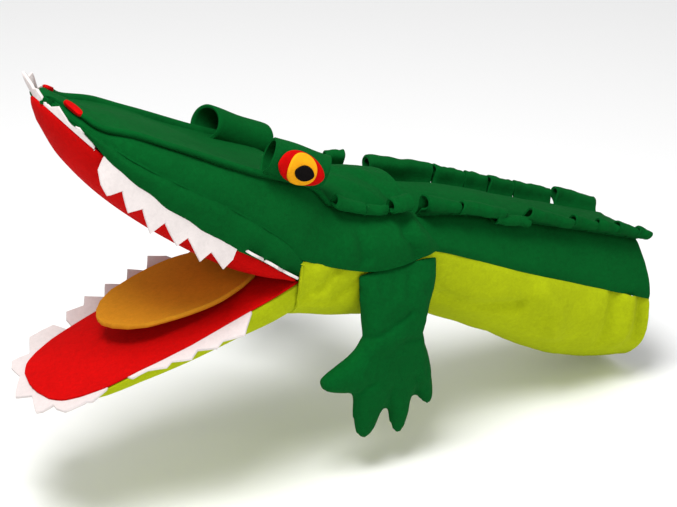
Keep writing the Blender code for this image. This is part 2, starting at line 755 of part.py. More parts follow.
def pillow(outline, thinner, middle_y, spacing):
    """Points and faces of a closed pillow over an outline in the XZ plane."""
    loop = [Vector(p) for p in outline]
    edges = [(i, (i + 1) % len(loop)) for i in range(len(loop))]
    points = list(loop)
    xs = [p.x for p in loop]
    zs = [p.y for p in loop]
    for i in range(int((max(xs) - min(xs)) / spacing) + 2):
        for j in range(int((max(zs) - min(zs)) / spacing) + 2):
            p = Vector((min(xs) + (i + 0.5 * (j % 2)) * spacing, min(zs) + (j + 0.5) * spacing))
            if is_inside(p, loop) and edge_distance(p, loop) > 3.0 and loop[0].y - p.y > 3.0:
                points.append(p)
    flat, _, tris, _, _, _ = delaunay_2d_cdt(points, edges, [], 1, 1e-4)
    rim = len(loop)
    verts = []
    for i, p in enumerate(flat):
        half = leg_thickness(p.x, p.y, 0.0 if i < rim else edge_distance(p, loop), thinner)
        verts.append((p.x, middle_y - half, p.y))
        verts.append((p.x, middle_y + half, p.y))
    faces = []
    for tri in tris:
        faces.append(tuple(2 * i for i in tri))
        faces.append(tuple(2 * i + 1 for i in reversed(tri)))
    for a, b in edges:
        faces.append((2 * a, 2 * a + 1, 2 * b + 1, 2 * b))
    return verts, faces


def is_inside(point, loop):
    inside = False
    for a, b in zip(loop, loop[1:] + loop[:1]):
        if (a.y > point.y) != (b.y > point.y):
            if point.x < a.x + (b.x - a.x) * (point.y - a.y) / (b.y - a.y):
                inside = not inside
    return inside


def swung(points, angle):
    """Points turned about the right foreleg's top seam."""
    turned = []
    for x, y, z in points:
        y -= LEG_PIVOT[0]
        z -= LEG_PIVOT[1]
        turned.append((x, LEG_PIVOT[0] + y * math.cos(angle) - z * math.sin(angle),
                       LEG_PIVOT[1] + y * math.sin(angle) + z * math.cos(angle)))
    return turned


def build_foreleg(side, name, green, wadding):
    """A felt skin, open along its top seam, round a loose filling."""
    middle = side * 58.0
    angle = math.radians(LEG_SPREAD)
    pivot = (-230, side * LEG_PIVOT[0], LEG_PIVOT[1])
    verts, faces = pillow(LEG_OUTLINE, 0.0, middle, 13.0)
    if side > 0:
        verts = swung(verts, angle)
    skin = add_object("foreleg_skin_" + name, verts, faces, green, pivot)
    inner = outline_at(STUFFING_OUTLINE, -1.6)
    for i in (0, 1, 2):
        inner[i] = Vector((inner[i].x, 104.0))
    verts, faces = pillow(inner, 1.8, middle, 13.0)
    if side > 0:
        verts = swung(verts, angle)
    cutter = add_object("foreleg_hollow_" + name, verts, faces, wadding, pivot)
    cutter.hide_render = True
    cutter.display_type = "WIRE"
    cut = skin.modifiers.new("hollow", "BOOLEAN")
    cut.operation = "DIFFERENCE"
    cut.object = cutter
    verts, faces = pillow(STUFFING_OUTLINE, 3.6, middle, 13.0)
    if side > 0:
        verts = swung(verts, angle)
    add_object("foreleg_stuffing_" + name, verts, faces, wadding, pivot)


def clear_scene():
    for obj in list(bpy.data.objects):
        bpy.data.objects.remove(obj, do_unlink=True)


def main():
    clear_scene()
    green = felt("dark_green_felt", DARK_GREEN)
    lime = felt("lime_felt", LIME)
    red = felt("red_felt", RED)
    white = felt("white_felt", WHITE)
    brown = felt("tongue_felt", TONGUE_BROWN)
    orange = felt("orange_felt", EYE_ORANGE)
    black = felt("black_felt", PUPIL)
    card = felt("stiff_board", CARD, 0.7)
    wadding = felt("wadding", WADDING)
    elastic = felt("elastic", ELASTIC, 0.8)
    mouth_pivot = (MOUTH[0], 0, MOUTH[1])

    build_torso(green, lime)
    build_frills(green)
    build_head_skin(green)
    build_lip_gussets(green)
    build_throat(lime)
    build_palate(red, card, wadding)
    build_snout_wadding(wadding)
    build_strap("finger_strap", upper, 58, 74, 32, 27, 2.6 + GAP, elastic, (0, 0, 0))
    build_upper_teeth(white)
    for side, name in ((-1, "left"), (1, "right")):
        build_eye(side, name, green, red, orange, black)
        build_nostril(side, name, red)
        build_foreleg(side, name, green, wadding)
    build_jaw(lime, red, card)
    build_strap("thumb_strap", lower, 36, 52, 24, -20, -2.4 - GAP, elastic, mouth_pivot)
    build_lower_teeth(white)
    build_tongue(brown)


main()
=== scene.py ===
"""Looks of the felt crocodile glove puppet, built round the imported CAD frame.

Lengths are in millimetres until a mesh is made. The snout points to -X, +Z is up and the
animal's left is -Y. Every felt panel is a patch of a smooth net with a thickness, edges
rolled at the seams and soft folds.
"""
import json
import math

import bmesh
import bpy
import numpy as np
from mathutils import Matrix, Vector, noise
from mathutils.geometry import delaunay_2d_cdt


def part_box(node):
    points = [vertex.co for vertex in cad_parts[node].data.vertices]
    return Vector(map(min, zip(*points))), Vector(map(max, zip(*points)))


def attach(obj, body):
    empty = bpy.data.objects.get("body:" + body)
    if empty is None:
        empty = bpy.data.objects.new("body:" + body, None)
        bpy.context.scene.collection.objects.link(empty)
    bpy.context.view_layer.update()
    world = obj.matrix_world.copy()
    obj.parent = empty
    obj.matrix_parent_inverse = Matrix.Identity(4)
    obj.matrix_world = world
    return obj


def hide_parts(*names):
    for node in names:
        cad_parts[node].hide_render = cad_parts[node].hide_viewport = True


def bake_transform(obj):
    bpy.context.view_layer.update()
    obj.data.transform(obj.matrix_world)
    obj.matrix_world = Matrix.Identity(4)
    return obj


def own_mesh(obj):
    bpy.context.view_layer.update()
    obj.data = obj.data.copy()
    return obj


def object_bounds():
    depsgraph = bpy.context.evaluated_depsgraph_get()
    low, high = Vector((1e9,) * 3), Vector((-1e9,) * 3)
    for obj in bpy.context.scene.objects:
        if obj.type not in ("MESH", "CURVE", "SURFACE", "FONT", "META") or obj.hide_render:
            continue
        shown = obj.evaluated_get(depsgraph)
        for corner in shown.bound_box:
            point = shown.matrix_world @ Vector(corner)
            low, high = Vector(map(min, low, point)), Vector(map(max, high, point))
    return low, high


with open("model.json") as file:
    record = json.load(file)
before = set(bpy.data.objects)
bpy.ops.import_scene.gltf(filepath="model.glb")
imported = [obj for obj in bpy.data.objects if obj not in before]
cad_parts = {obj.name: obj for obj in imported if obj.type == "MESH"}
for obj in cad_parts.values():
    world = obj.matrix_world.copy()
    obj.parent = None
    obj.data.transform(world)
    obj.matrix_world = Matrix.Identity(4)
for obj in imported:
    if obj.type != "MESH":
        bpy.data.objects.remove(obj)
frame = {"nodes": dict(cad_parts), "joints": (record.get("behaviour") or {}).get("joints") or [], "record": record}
cad_lo, cad_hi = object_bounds()

# ---------------------------------------------------------------- camera

cam_data = bpy.data.cameras.new("camera")
cam = bpy.data.objects.new("camera", cam_data)
bpy.context.collection.objects.link(cam)
cam.location = (-0.97104, -1.26183, 0.76859)
cam.rotation_euler = (math.radians(65), 0, math.radians(-30))
cam_data.lens = 121.54
cam_data.sensor_width = 36
bpy.context.scene.camera = cam

# ---------------------------------------------------------------- sizes

SIDES = ((-1, "left"), (1, "right"))
joint_at = {j["name"]: [1000 * c for c in j["pos_m"]] for j in frame["joints"]}
MOUTH_X, _, MOUTH_Z = joint_at["jaw_hinge"]

FELT = 2.5                        # thickness of the skins
TOOTH_FELT = 1.9
FRILL_FELT = 2.1
EYE_FELT = 2.3
TUCK_FELT = 1.3
SEAM_ROLL = 2.6                   # width of the rounding beside a seam
FOLD_HEIGHT = 1.6                 # draws out every fold listed below

UPPER_LENGTH = 217.0
SLEEVE_SLOPE = 0.4205             # fall of the sleeve's middle line for each unit of X
RIDGE_SLOPE = 0.492               # the same for the ridge under an eye roll
JAW_DROP = math.radians(19)       # lower jaw below level
TONGUE_LIFT = math.radians(8)     # tongue above the lower jaw
LEG_SPREAD = math.radians(72)     # right foreleg swung outwards at rest
CAD_EYE_RADIUS = 11.0
EYE_RADIUS = 12.8
EYE_SINK = {-1: 1.5, 1: 8.5}      # by side: how far a roll sits in the ridge
EYE_LEAN = {-1: math.radians(4), 1: math.radians(7)}

# Tables of (distance along a jaw from the mouth corner, value).
UPPER_WIDTH = ((0, 55), (25, 56), (50, 55), (90, 51), (130, 46), (160, 41),
               (180, 36), (195, 29), (207, 20), (214, 11), (217, 4))
LOWER_WIDTH = ((0, 54), (20, 55), (42, 54), (70, 53), (95, 52), (120, 50),
               (149, 45), (165, 38), (175, 31), (181, 21), (184, 6))
PALATE_BULGE = ((0, 2), (8, 6), (20, 14), (35, 19), (60, 22), (100, 23), (140, 22),
                (175, 18), (200, 11), (212, 6), (217, 2))
JAW_DROOP_LEFT = ((0, 0), (86, 0), (125, -2), (150, -1.5), (184, 0))
JAW_DROOP_RIGHT = ((0, 2), (60, 7), (110, 6), (150, 4), (184, 1))
HANG_RIGHT = ((58, -70), (100, -60), (118, -30), (140, 5), (175, 20))   # degrees up from outwards
JAW_DEPTH = ((0, 37), (25, 36), (50, 32), (100, 25), (140, 18), (170, 10), (184, 5))
TONGUE_WIDTH = ((0, 25), (12, 31), (33, 36.5), (56, 35.5), (83, 29), (95, 21), (102, 12.5), (105, 6),
                (106, 2.5))

# Snout stations: distance along the lip, then height above the lip and distance from the middle of
# the top, the ridge seam, the side and the gusset seam. The top has no distance.
SNOUT = (
    (216.5, 2.5, 2.2, 4.0, 1.8, 4.8, 1.5, 5.5),
    (212, 8, 6.8, 9.5, 6.2, 11, 5.6, 12),
    (198, 13, 9.5, 22.5, 7.5, 25.2, 5.8, 27),
    (183, 17.5, 12.5, 31, 9.8, 34, 6.5, 36),
    (160, 26.5, 23.5, 36, 17.5, 42, 9, 45),
    (130, 35, 33, 39, 25, 48, 13.5, 51),
    (80, 45, 45, 42.5, 34, 53.5, 20, 57),
    (30, 58, 58, 43, 39, 57, 19, 59.5))


# ---------------------------------------------------------------- curves and nets

def between(table, x):
    """Value of a table of (x, value) pairs."""
    return np.interp(x, [t[0] for t in table], [t[1] for t in table])


def smooth(table, x):
    """The same with rounded corners: a Catmull-Rom curve through the table."""
    xs = np.array([t[0] for t in table], float)
    t = np.interp(x, xs, np.arange(len(xs)))
    flat = weights(len(xs), t.ravel()) @ np.array([t[1] for t in table], float)
    return flat.reshape(np.shape(x))


def weights(count, ts):
    """Catmull-Rom weights of `count` points at the parameters ts."""
    ts = np.asarray(ts, float)
    i = np.clip(ts.astype(int), 0, count - 2)
    f = ts - i
    w = (-f / 2 + f ** 2 - f ** 3 / 2, 1 - 2.5 * f ** 2 + 1.5 * f ** 3,
         f / 2 + 2 * f ** 2 - 1.5 * f ** 3, -f ** 2 / 2 + f ** 3 / 2)
    ghost = np.zeros((count + 2, count))
    ghost[1:-1] = np.eye(count)
    ghost[0, :2] = (2, -1)
    ghost[-1, -2:] = (-1, 2)
    full = np.zeros((len(ts), count + 2))
    for k in range(4):
        full[np.arange(len(ts)), i + k] += w[k]
    return full @ ghost


def curve(points, ts):
    """Points of a Catmull-Rom curve. Whole numbers in ts fall on the given points."""
    return weights(len(points), ts) @ np.array(points, float)


def net(rows, us, vs):
    """A grid on the smooth surface through rows of points. us counts rows and vs counts columns."""
    rows = np.array(rows, float)
    return np.einsum("ur,rcx,vc->uvx", weights(len(rows), us), rows, weights(rows.shape[1], vs))


def unit(v):
    """Vectors of length 1 along the last axis."""
    return v / np.maximum(np.linalg.norm(v, axis=-1, keepdims=True), 1e-9)


def normals(grid, inside):
    """Unit normals of a grid, pointing away from the points `inside`."""
    n = unit(np.cross(np.gradient(grid, axis=0), np.gradient(grid, axis=1)))
    return n if (n * (grid - inside)).sum(-1).mean() > 0 else -n


def sided(rows, side):
    """Rows of the animal's left, mirrored for its right side."""
    return rows if side < 0 else [[(p[0], -p[1], p[2]) for p in row] for row in rows]


def whole(rows):
    """Full cross-sections from left halves that start at the middle."""
    return [[(p[0], -p[1], p[2]) for p in reversed(row[1:])] + list(row) for row in rows]


# The upper lip's line in side view, which curves upwards. LIP_A is its slope at each LIP_D.
LIP_D = np.linspace(-10, 240, 1001)
LIP_A = np.radians(37 + 15 * (np.maximum(LIP_D, 0) / UPPER_LENGTH) ** 1.8)
LIP_STEP = LIP_D[1] - LIP_D[0]
LIP_X = -np.cumsum(np.cos(LIP_A)) * LIP_STEP
LIP_Z = np.cumsum(np.sin(LIP_A)) * LIP_STEP
LIP_X += MOUTH_X - np.interp(0, LIP_D, LIP_X)
LIP_Z += MOUTH_Z - np.interp(0, LIP_D, LIP_Z)


def upper(d, y, h):
    """Points of the upper jaw: d along the lip, y across, h above the lip's plane."""
    d, y, h = np.broadcast_arrays(np.asarray(d, float), y, h)
    a = np.interp(d, LIP_D, LIP_A)
    return np.stack([np.interp(d, LIP_D, LIP_X) + np.sin(a) * h, y,
                     np.interp(d, LIP_D, LIP_Z) + np.cos(a) * h], axis=-1)


def lower(d, y, k):
    """Points of the lower jaw: d along it, y across, k above its rim. Its loose sides droop."""
    d, y, k = np.broadcast_arrays(np.asarray(d, float), y, k)
    droop = np.where(y < 0, between(JAW_DROOP_LEFT, d), between(JAW_DROOP_RIGHT, d))
    k = k - droop * np.minimum(np.abs(y) / 50, 1.2) ** 2
    return np.stack([MOUTH_X - math.cos(JAW_DROP) * d - math.sin(JAW_DROP) * k, y,
                     MOUTH_Z - math.sin(JAW_DROP) * d + math.cos(JAW_DROP) * k], axis=-1)


def head_rows():
    """Columns: middle of the top, quarter, ridge seam, side, gusset or throat seam."""
    rows = []
    for d, top, ridge, ridge_y, side, side_y, seam, seam_y in SNOUT:
        rows.append([tuple(upper(d, 0, top)),
                     tuple(upper(d, -ridge_y * 0.5, top * 0.6 + ridge * 0.4)),
                     tuple(upper(d, -ridge_y, ridge)), tuple(upper(d, -side_y, side)),
                     tuple(upper(d, -seam_y, seam))])
    return rows + [
        [(-271, 0, 159), (-272, -23, 157), (-275, -43, 151), (-289, -57, 137), (-302, -58.5, 121)],
        [(-247, 0, 154), (-248, -22, 151), (-251, -43, 141), (-256, -60, 124), (-259, -60.5, 103.5)],
        [(-226, 0, 150), (-227, -21, 146), (-229, -42, 135), (-230, -60, 120), (-230, -62.5, 101)],
        [(-206, 0, 145), (-206, -20, 141), (-207, -39, 130), (-201, -55.5, 117), (-194, -57.5, 104)]]


def gusset_rows():
    """Columns: gusset seam, bulge, lip edge, from the snout's tip to the mouth corner."""
    rows = []
    for d, *_, seam, seam_y in SNOUT:
        w = between(UPPER_WIDTH, d) + between(((0, 1.5), (40, 3.2), (165, 3.2), (183, 1.5)), d)
        low = between(((0, 1), (40, 0.5), (60, -2.6), (165, -2.6), (180, 1.5)), d)
        rows.append([tuple(upper(d, -seam_y, seam)),
                     tuple(upper(d, -(seam_y + w) / 2 - 2.2, (seam + low) / 2 + 1)),
                     tuple(upper(d, -w, low))])
    return rows + [[(-301.5, -57.4, 120), (-300.5, -57.0, 113), (-300, -55.4, 106)]]


def throat_rows():
    """Columns: middle of the underside, lower flank, flank, seam under the cheek."""
    return [
        [(-300, 0, 66), (-301, -30, 70), (-305, -53, 86), (-305, -58.5, 103), (-303.5, -59.5, 118)],
        [(-287, 0, 63), (-289, -30, 67), (-296, -52, 84), (-298.5, -57, 104), (-300.5, -58, 119.5)],
        [(-272, 0, 58), (-274, -30, 62), (-280, -52, 80), (-281, -57, 100), (-281, -58, 113)],
        [(-256, 0, 54), (-258, -30, 58), (-264, -51, 76), (-265, -56, 96), (-266, -57.5, 108)],
        [(-236, 0, 49), (-238, -28, 53), (-240, -46, 72), (-241, -53, 92), (-242, -55, 106)]]


def torso_rows():
    """Columns: top, back seam, upper side, side seam, flank, lower flank, middle of the belly."""
    stations = (
        (0, 60, 56, 26, 32, 43, 13.5, 46.5, -16, 44, -39, 27, -50),
        (-40, 60, 54, 27, 31, 43.5, 14, 47.5, -18, 46, -45, 29, -59),
        (-80, 59, 51.5, 27, 30, 44, 14.5, 48, -18, 46, -46, 29, -59),
        (-120, 58, 49.5, 28, 29, 44, 15, 48, -15, 45.5, -41, 28, -51.5),
        (-160, 55, 46, 30, 29, 44.5, 17, 48.5, -12, 45, -35, 28, -46.5),
        (-190, 50, 40, 31, 28, 45, 18, 49.5, -10, 45, -33, 27, -43),
        (-212, 45, 35, 31, 25, 45, 14, 49.5, -9, 44, -31, 26, -40.5),
        (-236, 41, 31, 30, 21, 44, 9, 49, -8, 42, -27, 25, -36))
    rows = []
    for x, top, back, back_y, side, side_y, seam, seam_y, flank, flank_y, low, low_y, belly in stations:
        z = -SLEEVE_SLOPE * x
        rows.append([(x, 0, z + top), (x, -back_y * 0.5, z + (top * 0.75 + back * 0.25)),
                     (x, -back_y, z + back), (x, -side_y, z + side), (x, -seam_y, z + seam),
                     (x, -flank_y, z + flank), (x, -low_y, z + low), (x, 0, z + belly)])
    return rows


def head_inside(grid):
    """Points on the head's middle line, level with the grid and inside the felt."""
    d = np.clip((MOUTH_X - grid[..., 0]) / 0.76, 0, UPPER_LENGTH)
    inner = upper(d, 0.0, 2.0)
    inner[..., 2] = np.where(d > 20, inner[..., 2], 108)
    inner[..., 0] = np.where(d > 20, inner[..., 0], grid[..., 0])
    return inner


def sleeve_inside(grid):
    """Points on the sleeve's middle line, level with the grid."""
    x = grid[..., 0]
    return np.stack([x, 0 * x, -SLEEVE_SLOPE * x], axis=-1)


# ---------------------------------------------------------------- materials

def node(tree, kind, **inputs):
    """A shader node with its inputs linked or set. An underscore stands for a space in a name."""
    made = tree.nodes.new(kind)
    for key, value in inputs.items():
        socket = made.inputs[key.replace("_", " ")]
        if isinstance(value, bpy.types.NodeSocket):
            tree.links.new(value, socket)
        else:
            socket.default_value = value
    return made


def scaled(tree, source, low, high):
    """A 0..1 value turned into low..high, with the middle half stretched."""
    made = node(tree, "ShaderNodeMapRange", Value=source, From_Min=0.3, From_Max=0.7,
                To_Min=low, To_Max=high)
    return made.outputs[0]


def mixed(tree, kind, factor, a, b):
    """Colour of a and b mixed. Each of the three may be a socket or a value."""
    made = tree.nodes.new("ShaderNodeMix")
    made.data_type = "RGBA"
    made.blend_type = kind
    for index, value in ((0, factor), (6, a), (7, b)):
        if isinstance(value, bpy.types.NodeSocket):
            tree.links.new(value, made.inputs[index])
        else:
            made.inputs[index].default_value = value
    return made.outputs[2]


MATERIALS = {}


def felt(name, color, light, sheen=0.1, fuzz=1.0, blotch=0.16, rough=0.95):
    """Felt: matted fibres, blotches of lighter and darker wool, soft sheen and a fuzzy bump."""
    material = bpy.data.materials.new("puppet_" + name)
    MATERIALS[name] = material
    material.use_nodes = True
    tree = material.node_tree
    shader = tree.nodes["Principled BSDF"]
    place = node(tree, "ShaderNodeTexCoord").outputs["Object"]
    cloud = node(tree, "ShaderNodeTexNoise", Vector=place, Scale=32.0, Detail=3.0, Roughness=0.6)
    clump = node(tree, "ShaderNodeTexNoise", Vector=place, Scale=340.0, Detail=4.0, Roughness=0.65,
                 Distortion=0.8)
    fibre = node(tree, "ShaderNodeTexNoise", Vector=place, Scale=1500.0, Detail=3.0, Roughness=0.7,
                 Distortion=2.5)
    tone = scaled(tree, cloud.outputs["Fac"], 1 - blotch * 0.5, 1 + blotch * 0.5)
    grain = scaled(tree, clump.outputs["Fac"], 1 - blotch * 0.9, 1 + blotch * 0.9)
    base = mixed(tree, "MULTIPLY", 1.0, (*color, 1), tone)
    base = mixed(tree, "MULTIPLY", 1.0, base, grain)
    strand = scaled(tree, fibre.outputs["Fac"], -0.25, 0.38)
    base = mixed(tree, "MIX", strand, base, (*light, 1))
    tree.links.new(base, shader.inputs["Base Color"])
    coarse = node(tree, "ShaderNodeBump", Height=clump.outputs["Fac"], Strength=0.45 * fuzz,
                  Distance=0.0006)
    fine = node(tree, "ShaderNodeBump", Height=fibre.outputs["Fac"], Strength=0.5 * fuzz,
                Distance=0.0003, Normal=coarse.outputs[0])
    tree.links.new(fine.outputs[0], shader.inputs["Normal"])
    shader.inputs["Roughness"].default_value = rough
    shader.inputs["Specular IOR Level"].default_value = 0.06
    shader.inputs["Sheen Weight"].default_value = sheen
    shader.inputs["Sheen Roughness"].default_value = 0.55
    shader.inputs["Sheen Tint"].default_value = (*light, 1)


felt("dark_green_felt", (0.0003, 0.072, 0.011), (0.003, 0.15, 0.028), 0.03)
felt("lime_felt", (0.36, 0.43, 0.004), (0.50, 0.57, 0.02), 0.03, blotch=0.12)
felt("red_felt", (0.50, 0.001, 0.001), (0.62, 0.008, 0.006), 0.02, fuzz=0.7, blotch=0.14)
felt("white_felt", (0.66, 0.60, 0.585), (0.76, 0.70, 0.68), 0.02, fuzz=0.7, blotch=0.06)
felt("tongue_felt", (0.57, 0.235, 0.012), (0.70, 0.33, 0.03), 0.12, fuzz=0.5, blotch=0.10)
felt("orange_felt", (0.82, 0.34, 0.006), (0.95, 0.50, 0.03), 0.10, fuzz=0.5, blotch=0.10)
felt("black_felt", (0.004, 0.003, 0.003), (0.012, 0.010, 0.010), 0.01, fuzz=0.8)
felt("wadding", (0.74, 0.73, 0.69), (0.95, 0.94, 0.92), 0.3, fuzz=1.5)
felt("elastic", (0.05, 0.05, 0.05), (0.12, 0.12, 0.12), 0.05, fuzz=1.2)
felt("stiff_board", (0.46, 0.38, 0.26), (0.58, 0.49, 0.36), 0.0, fuzz=0.3, rough=0.7)


# ---------------------------------------------------------------- meshes

def piece(name, verts, faces, slot, sharp=40):
    """A shown piece from points in millimetres, with the finish of a material slot."""
    mesh = bpy.data.meshes.new(name)
    mesh.from_pydata((np.asarray(verts, float).reshape(-1, 3) * 0.001).tolist(), [], faces)
    bm = bmesh.new()
    bm.from_mesh(mesh)
    bmesh.ops.recalc_face_normals(bm, faces=bm.faces)
    bm.to_mesh(mesh)
    bm.free()
    mesh.shade_smooth()
    mesh.set_sharp_from_angle(angle=math.radians(sharp))
    mesh.materials.append(MATERIALS[slot])
    obj = bpy.data.objects.new(name, mesh)
    bpy.context.collection.objects.link(obj)
    return obj


def grid_faces(n, m, start=0, ring=False):
    """Faces of a grid of n rows of m points. A ring's rows are closed."""
    i, j = np.meshgrid(np.arange(n - 1), np.arange(m if ring else m - 1), indexing="ij")
    a = start + i * m + j
    b = start + i * m + (j + 1) % m
    return np.stack([a, b, b + m, a + m], axis=-1).reshape(-1, 4).tolist()


def closed_sheet(outer, inner, ring=False):
    """Points and faces of a closed felt sheet between two grids, with slightly rounded cut edges."""
    n, m = outer.shape[:2]
    middle = (outer + inner) / 2
    verts = [outer.reshape(-1, 3), inner.reshape(-1, 3)]
    faces = grid_faces(n, m, 0, ring) + grid_faces(n, m, n * m, ring)
    if ring:
        loops = [[i * m + j for j in range(m)] + [i * m] for i in (0, n - 1)]
    else:
        loops = [[j for j in range(m)] + [i * m + m - 1 for i in range(1, n)]
                 + [(n - 1) * m + j for j in range(m - 2, -1, -1)] + [i * m for i in range(n - 2, -1, -1)]]
    flat = middle.reshape(-1, 3)
    count = 2 * n * m
    for loop in loops:
        ids = loop[:-1]
        previous = np.roll(np.arange(len(ids)), 1)
        rim = flat[ids]
        if ring:
            out = rim - flat[[k + m if k < m else k - m for k in ids]]
        else:
            near = []
            for k in ids:
                i, j = divmod(k, m)
                near.append(min(max(i, 1), n - 2) * m + min(max(j, 1), m - 2))
            out = rim - flat[near]
        through = outer.reshape(-1, 3)[ids] - inner.reshape(-1, 3)[ids]
        half = np.linalg.norm(through, axis=1)[:, None] / 2
        verts.append(rim + unit(out) * half * 0.55)
        for a in range(len(ids)):
            b = previous[a]
            faces.append((ids[b], ids[a], count + a, count + b))
            faces.append((n * m + ids[a], n * m + ids[b], count + b, count + a))
        count += len(ids)
    return np.concatenate(verts), faces


def sheet(name, outer, inner, slot, ring=False):
    """A piece that is one closed felt sheet."""
    return piece(name, *closed_sheet(outer, inner, ring), slot, 50)


def joined(name, shells, slot):
    """One piece from several closed felt sheets."""
    verts = []
    faces = []
    for outer, inner in shells:
        v, f = closed_sheet(outer, inner)
        start = sum(len(a) for a in verts)
        verts.append(v)
        faces += [tuple(start + i for i in face) for face in f]
    return piece(name, np.concatenate(verts), faces, slot, 50)


def box_mm(node_name):
    """Low and high corners of a CAD node's box."""
    return [np.array(c) * 1000 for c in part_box(node_name)]


def rough_field(points, size, seed):
    """Smooth noise between about -1 and 1, with features of `size` mm."""
    flat = points.reshape(-1, 3) / size + seed * 7.3
    return np.array([noise.noise(Vector(p)) for p in flat]).reshape(points.shape[:-1]) * 1.8


def near_line(points, line):
    """Distance from each point to a line of points."""
    best = np.full(points.shape[:-1], 1e9)
    for a, b in zip(line, line[1:]):
        a = np.array(a, float)
        b = np.array(b, float)
        t = np.clip(((points - a) @ (b - a)) / ((b - a) @ (b - a)), 0, 1)
        best = np.minimum(best, np.linalg.norm(points - a - t[..., None] * (b - a), axis=-1))
    return best


def folded(points, folds, side):
    """Sum of soft folds: (height, width, line) with the line on the animal's left."""
    total = np.zeros(points.shape[:-1])
    for height, width, line in folds:
        line = [(p[0], -p[1] * side, p[2]) for p in line]
        total += FOLD_HEIGHT * height * np.exp(-(near_line(points, line) / width) ** 2)
    return total


def arc(grid):
    """Length along each row of a grid."""
    step = np.linalg.norm(np.diff(grid, axis=1), axis=-1)
    return np.concatenate([np.zeros((len(grid), 1)), np.cumsum(step, axis=1)], axis=1)


def skin(name, rows, us, vs, inside, slot, rolls=(0, 0), folds=(), side=-1, ripple=(0.35, 22), seed=1):
    """A felt panel: a patch of a net with folds and ripples, and edges rolled into the seams.

    rolls gives the depth at the first and last column, and ripple the height and size of waves.
    """
    grid = net(rows, us, vs)
    n = normals(grid, inside(grid))
    across = arc(grid)
    total = across[:, -1:]
    lift = folded(grid, folds, side) + ripple[0] * rough_field(grid, ripple[1], seed)
    lift += 0.12 * rough_field(grid, 6, seed + 3)
    lift -= rolls[0] * np.exp(-(across / SEAM_ROLL) ** 2)
    lift -= rolls[1] * np.exp(-((total - across) / SEAM_ROLL) ** 2)
    outer = grid + n * lift[..., None]
    n = normals(outer, inside(outer))
    return sheet(name, outer, outer - n * FELT, slot)


def neck_blend(obj):
    """Bakes a head piece's transform into its mesh."""
    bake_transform(obj)


# ---------------------------------------------------------------- head

def build_head():
    rows = head_rows()
    us = np.linspace(0, 11, 160)
    top_folds = (
        (-1.3, 3.5, ((-262, -20, 160), (-243, -34, 148), (-232, -46, 132))),
        (1.6, 5.0, ((-254, -12, 160), (-236, -28, 150), (-224, -42, 135))),
        (-1.2, 4.0, ((-236, -5, 155), (-222, -24, 146), (-214, -40, 130))),
        (1.2, 6.0, ((-262, 16, 160), (-246, 4, 156), (-226, -6, 152))))
    top = skin("head_top_skin", whole([row[:3] for row in rows]), us, np.linspace(0, 4, 70),
               head_inside, "dark_green_felt", (-0.6, -0.6), top_folds, ripple=(0.5, 30), seed=2)
    neck_blend(top)
    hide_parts("head_top_panel")
    side_folds = (
        (-2.2, 4.5, ((-262, -56, 150), (-258, -60, 132), (-256, -61, 112))),
        (1.4, 6.0, ((-272, -56, 146), (-268, -60, 128), (-270, -60, 116))),
        (-1.8, 3.0, ((-219, -46, 134), (-222, -58, 122), (-214, -62, 104))),
        (1.8, 5.0, ((-212, -46, 130), (-212, -58, 120), (-204, -62, 106))),
        (-1.2, 3.0, ((-205, -48, 126), (-199, -58, 114), (-190, -60, 108))),
        (-1.0, 7.0, ((-330, -52, 176), (-300, -57, 150), (-285, -60, 130))))
    for side, name in SIDES:
        obj = skin("head_side_skin_" + name, sided([row[2:] for row in rows], side), us,
                   np.linspace(0, 2, 44), head_inside, "dark_green_felt", (0.8, 1.0), side_folds, side,
                   ripple=(0.5, 26), seed=5 + side)
        neck_blend(obj)
        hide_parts("head_side_panel_" + name)
        obj = skin("lip_gusset_skin_" + name, sided(gusset_rows(), side), np.linspace(0, 8, 120),
                   np.linspace(0.02, 2, 18), head_inside, "dark_green_felt", (1.0, 0.5), (), side,
                   ripple=(0.7, 16), seed=9 + side)
        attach(obj, "head")
        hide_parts("lip_gusset_" + name)
    throat_folds = (
        (-1.6, 4.0, ((-300, -58, 92), (-288, -57, 98), (-276, -57, 108))),
        (-1.2, 4.0, ((-296, -56, 82), (-280, -56, 84), (-262, -56, 92))),
        (1.2, 5.0, ((-292, -58, 110), (-284, -58, 96), (-282, -54, 80))))
    throat = skin("throat_skin", whole(throat_rows()), np.linspace(0, 4, 50), np.linspace(0, 8, 90),
                  head_inside, "lime_felt", (0.6, 0.6), throat_folds, seed=14)
    neck_blend(throat)
    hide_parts("throat_panel")


def palate_depth(d, share):
    """How far the padded palate bulges below the lip's plane. share runs from -1 to 1 across it."""
    power = between(((0, 0.4), (40, 0.5), (90, 0.8), (217, 0.8)), d)
    crown = np.maximum(1 - share * share, 0) ** power
    return 1.6 + (smooth(PALATE_BULGE, d) - 1.6) * crown


def flattened(obj, d, h):
    """Gives a piece its own copy of its mesh."""
    tuple(upper(d, 0.0, h) * 0.001)
    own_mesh(obj)


def build_palate():
    d = np.linspace(5, 216, 80)[:, None]
    share = np.linspace(-1, 1, 46)[None, :]
    w = smooth(UPPER_WIDTH, d) - 0.8
    front = upper(d, w * share, -palate_depth(d, share))
    back = upper(d, w * share * 0.985, 0.3 + 0 * share)
    obj = sheet("palate", front, back, "red_felt")
    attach(obj, "head")
    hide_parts("palate_lining", "palate_pad")
    flattened(obj, 85, 1.5)


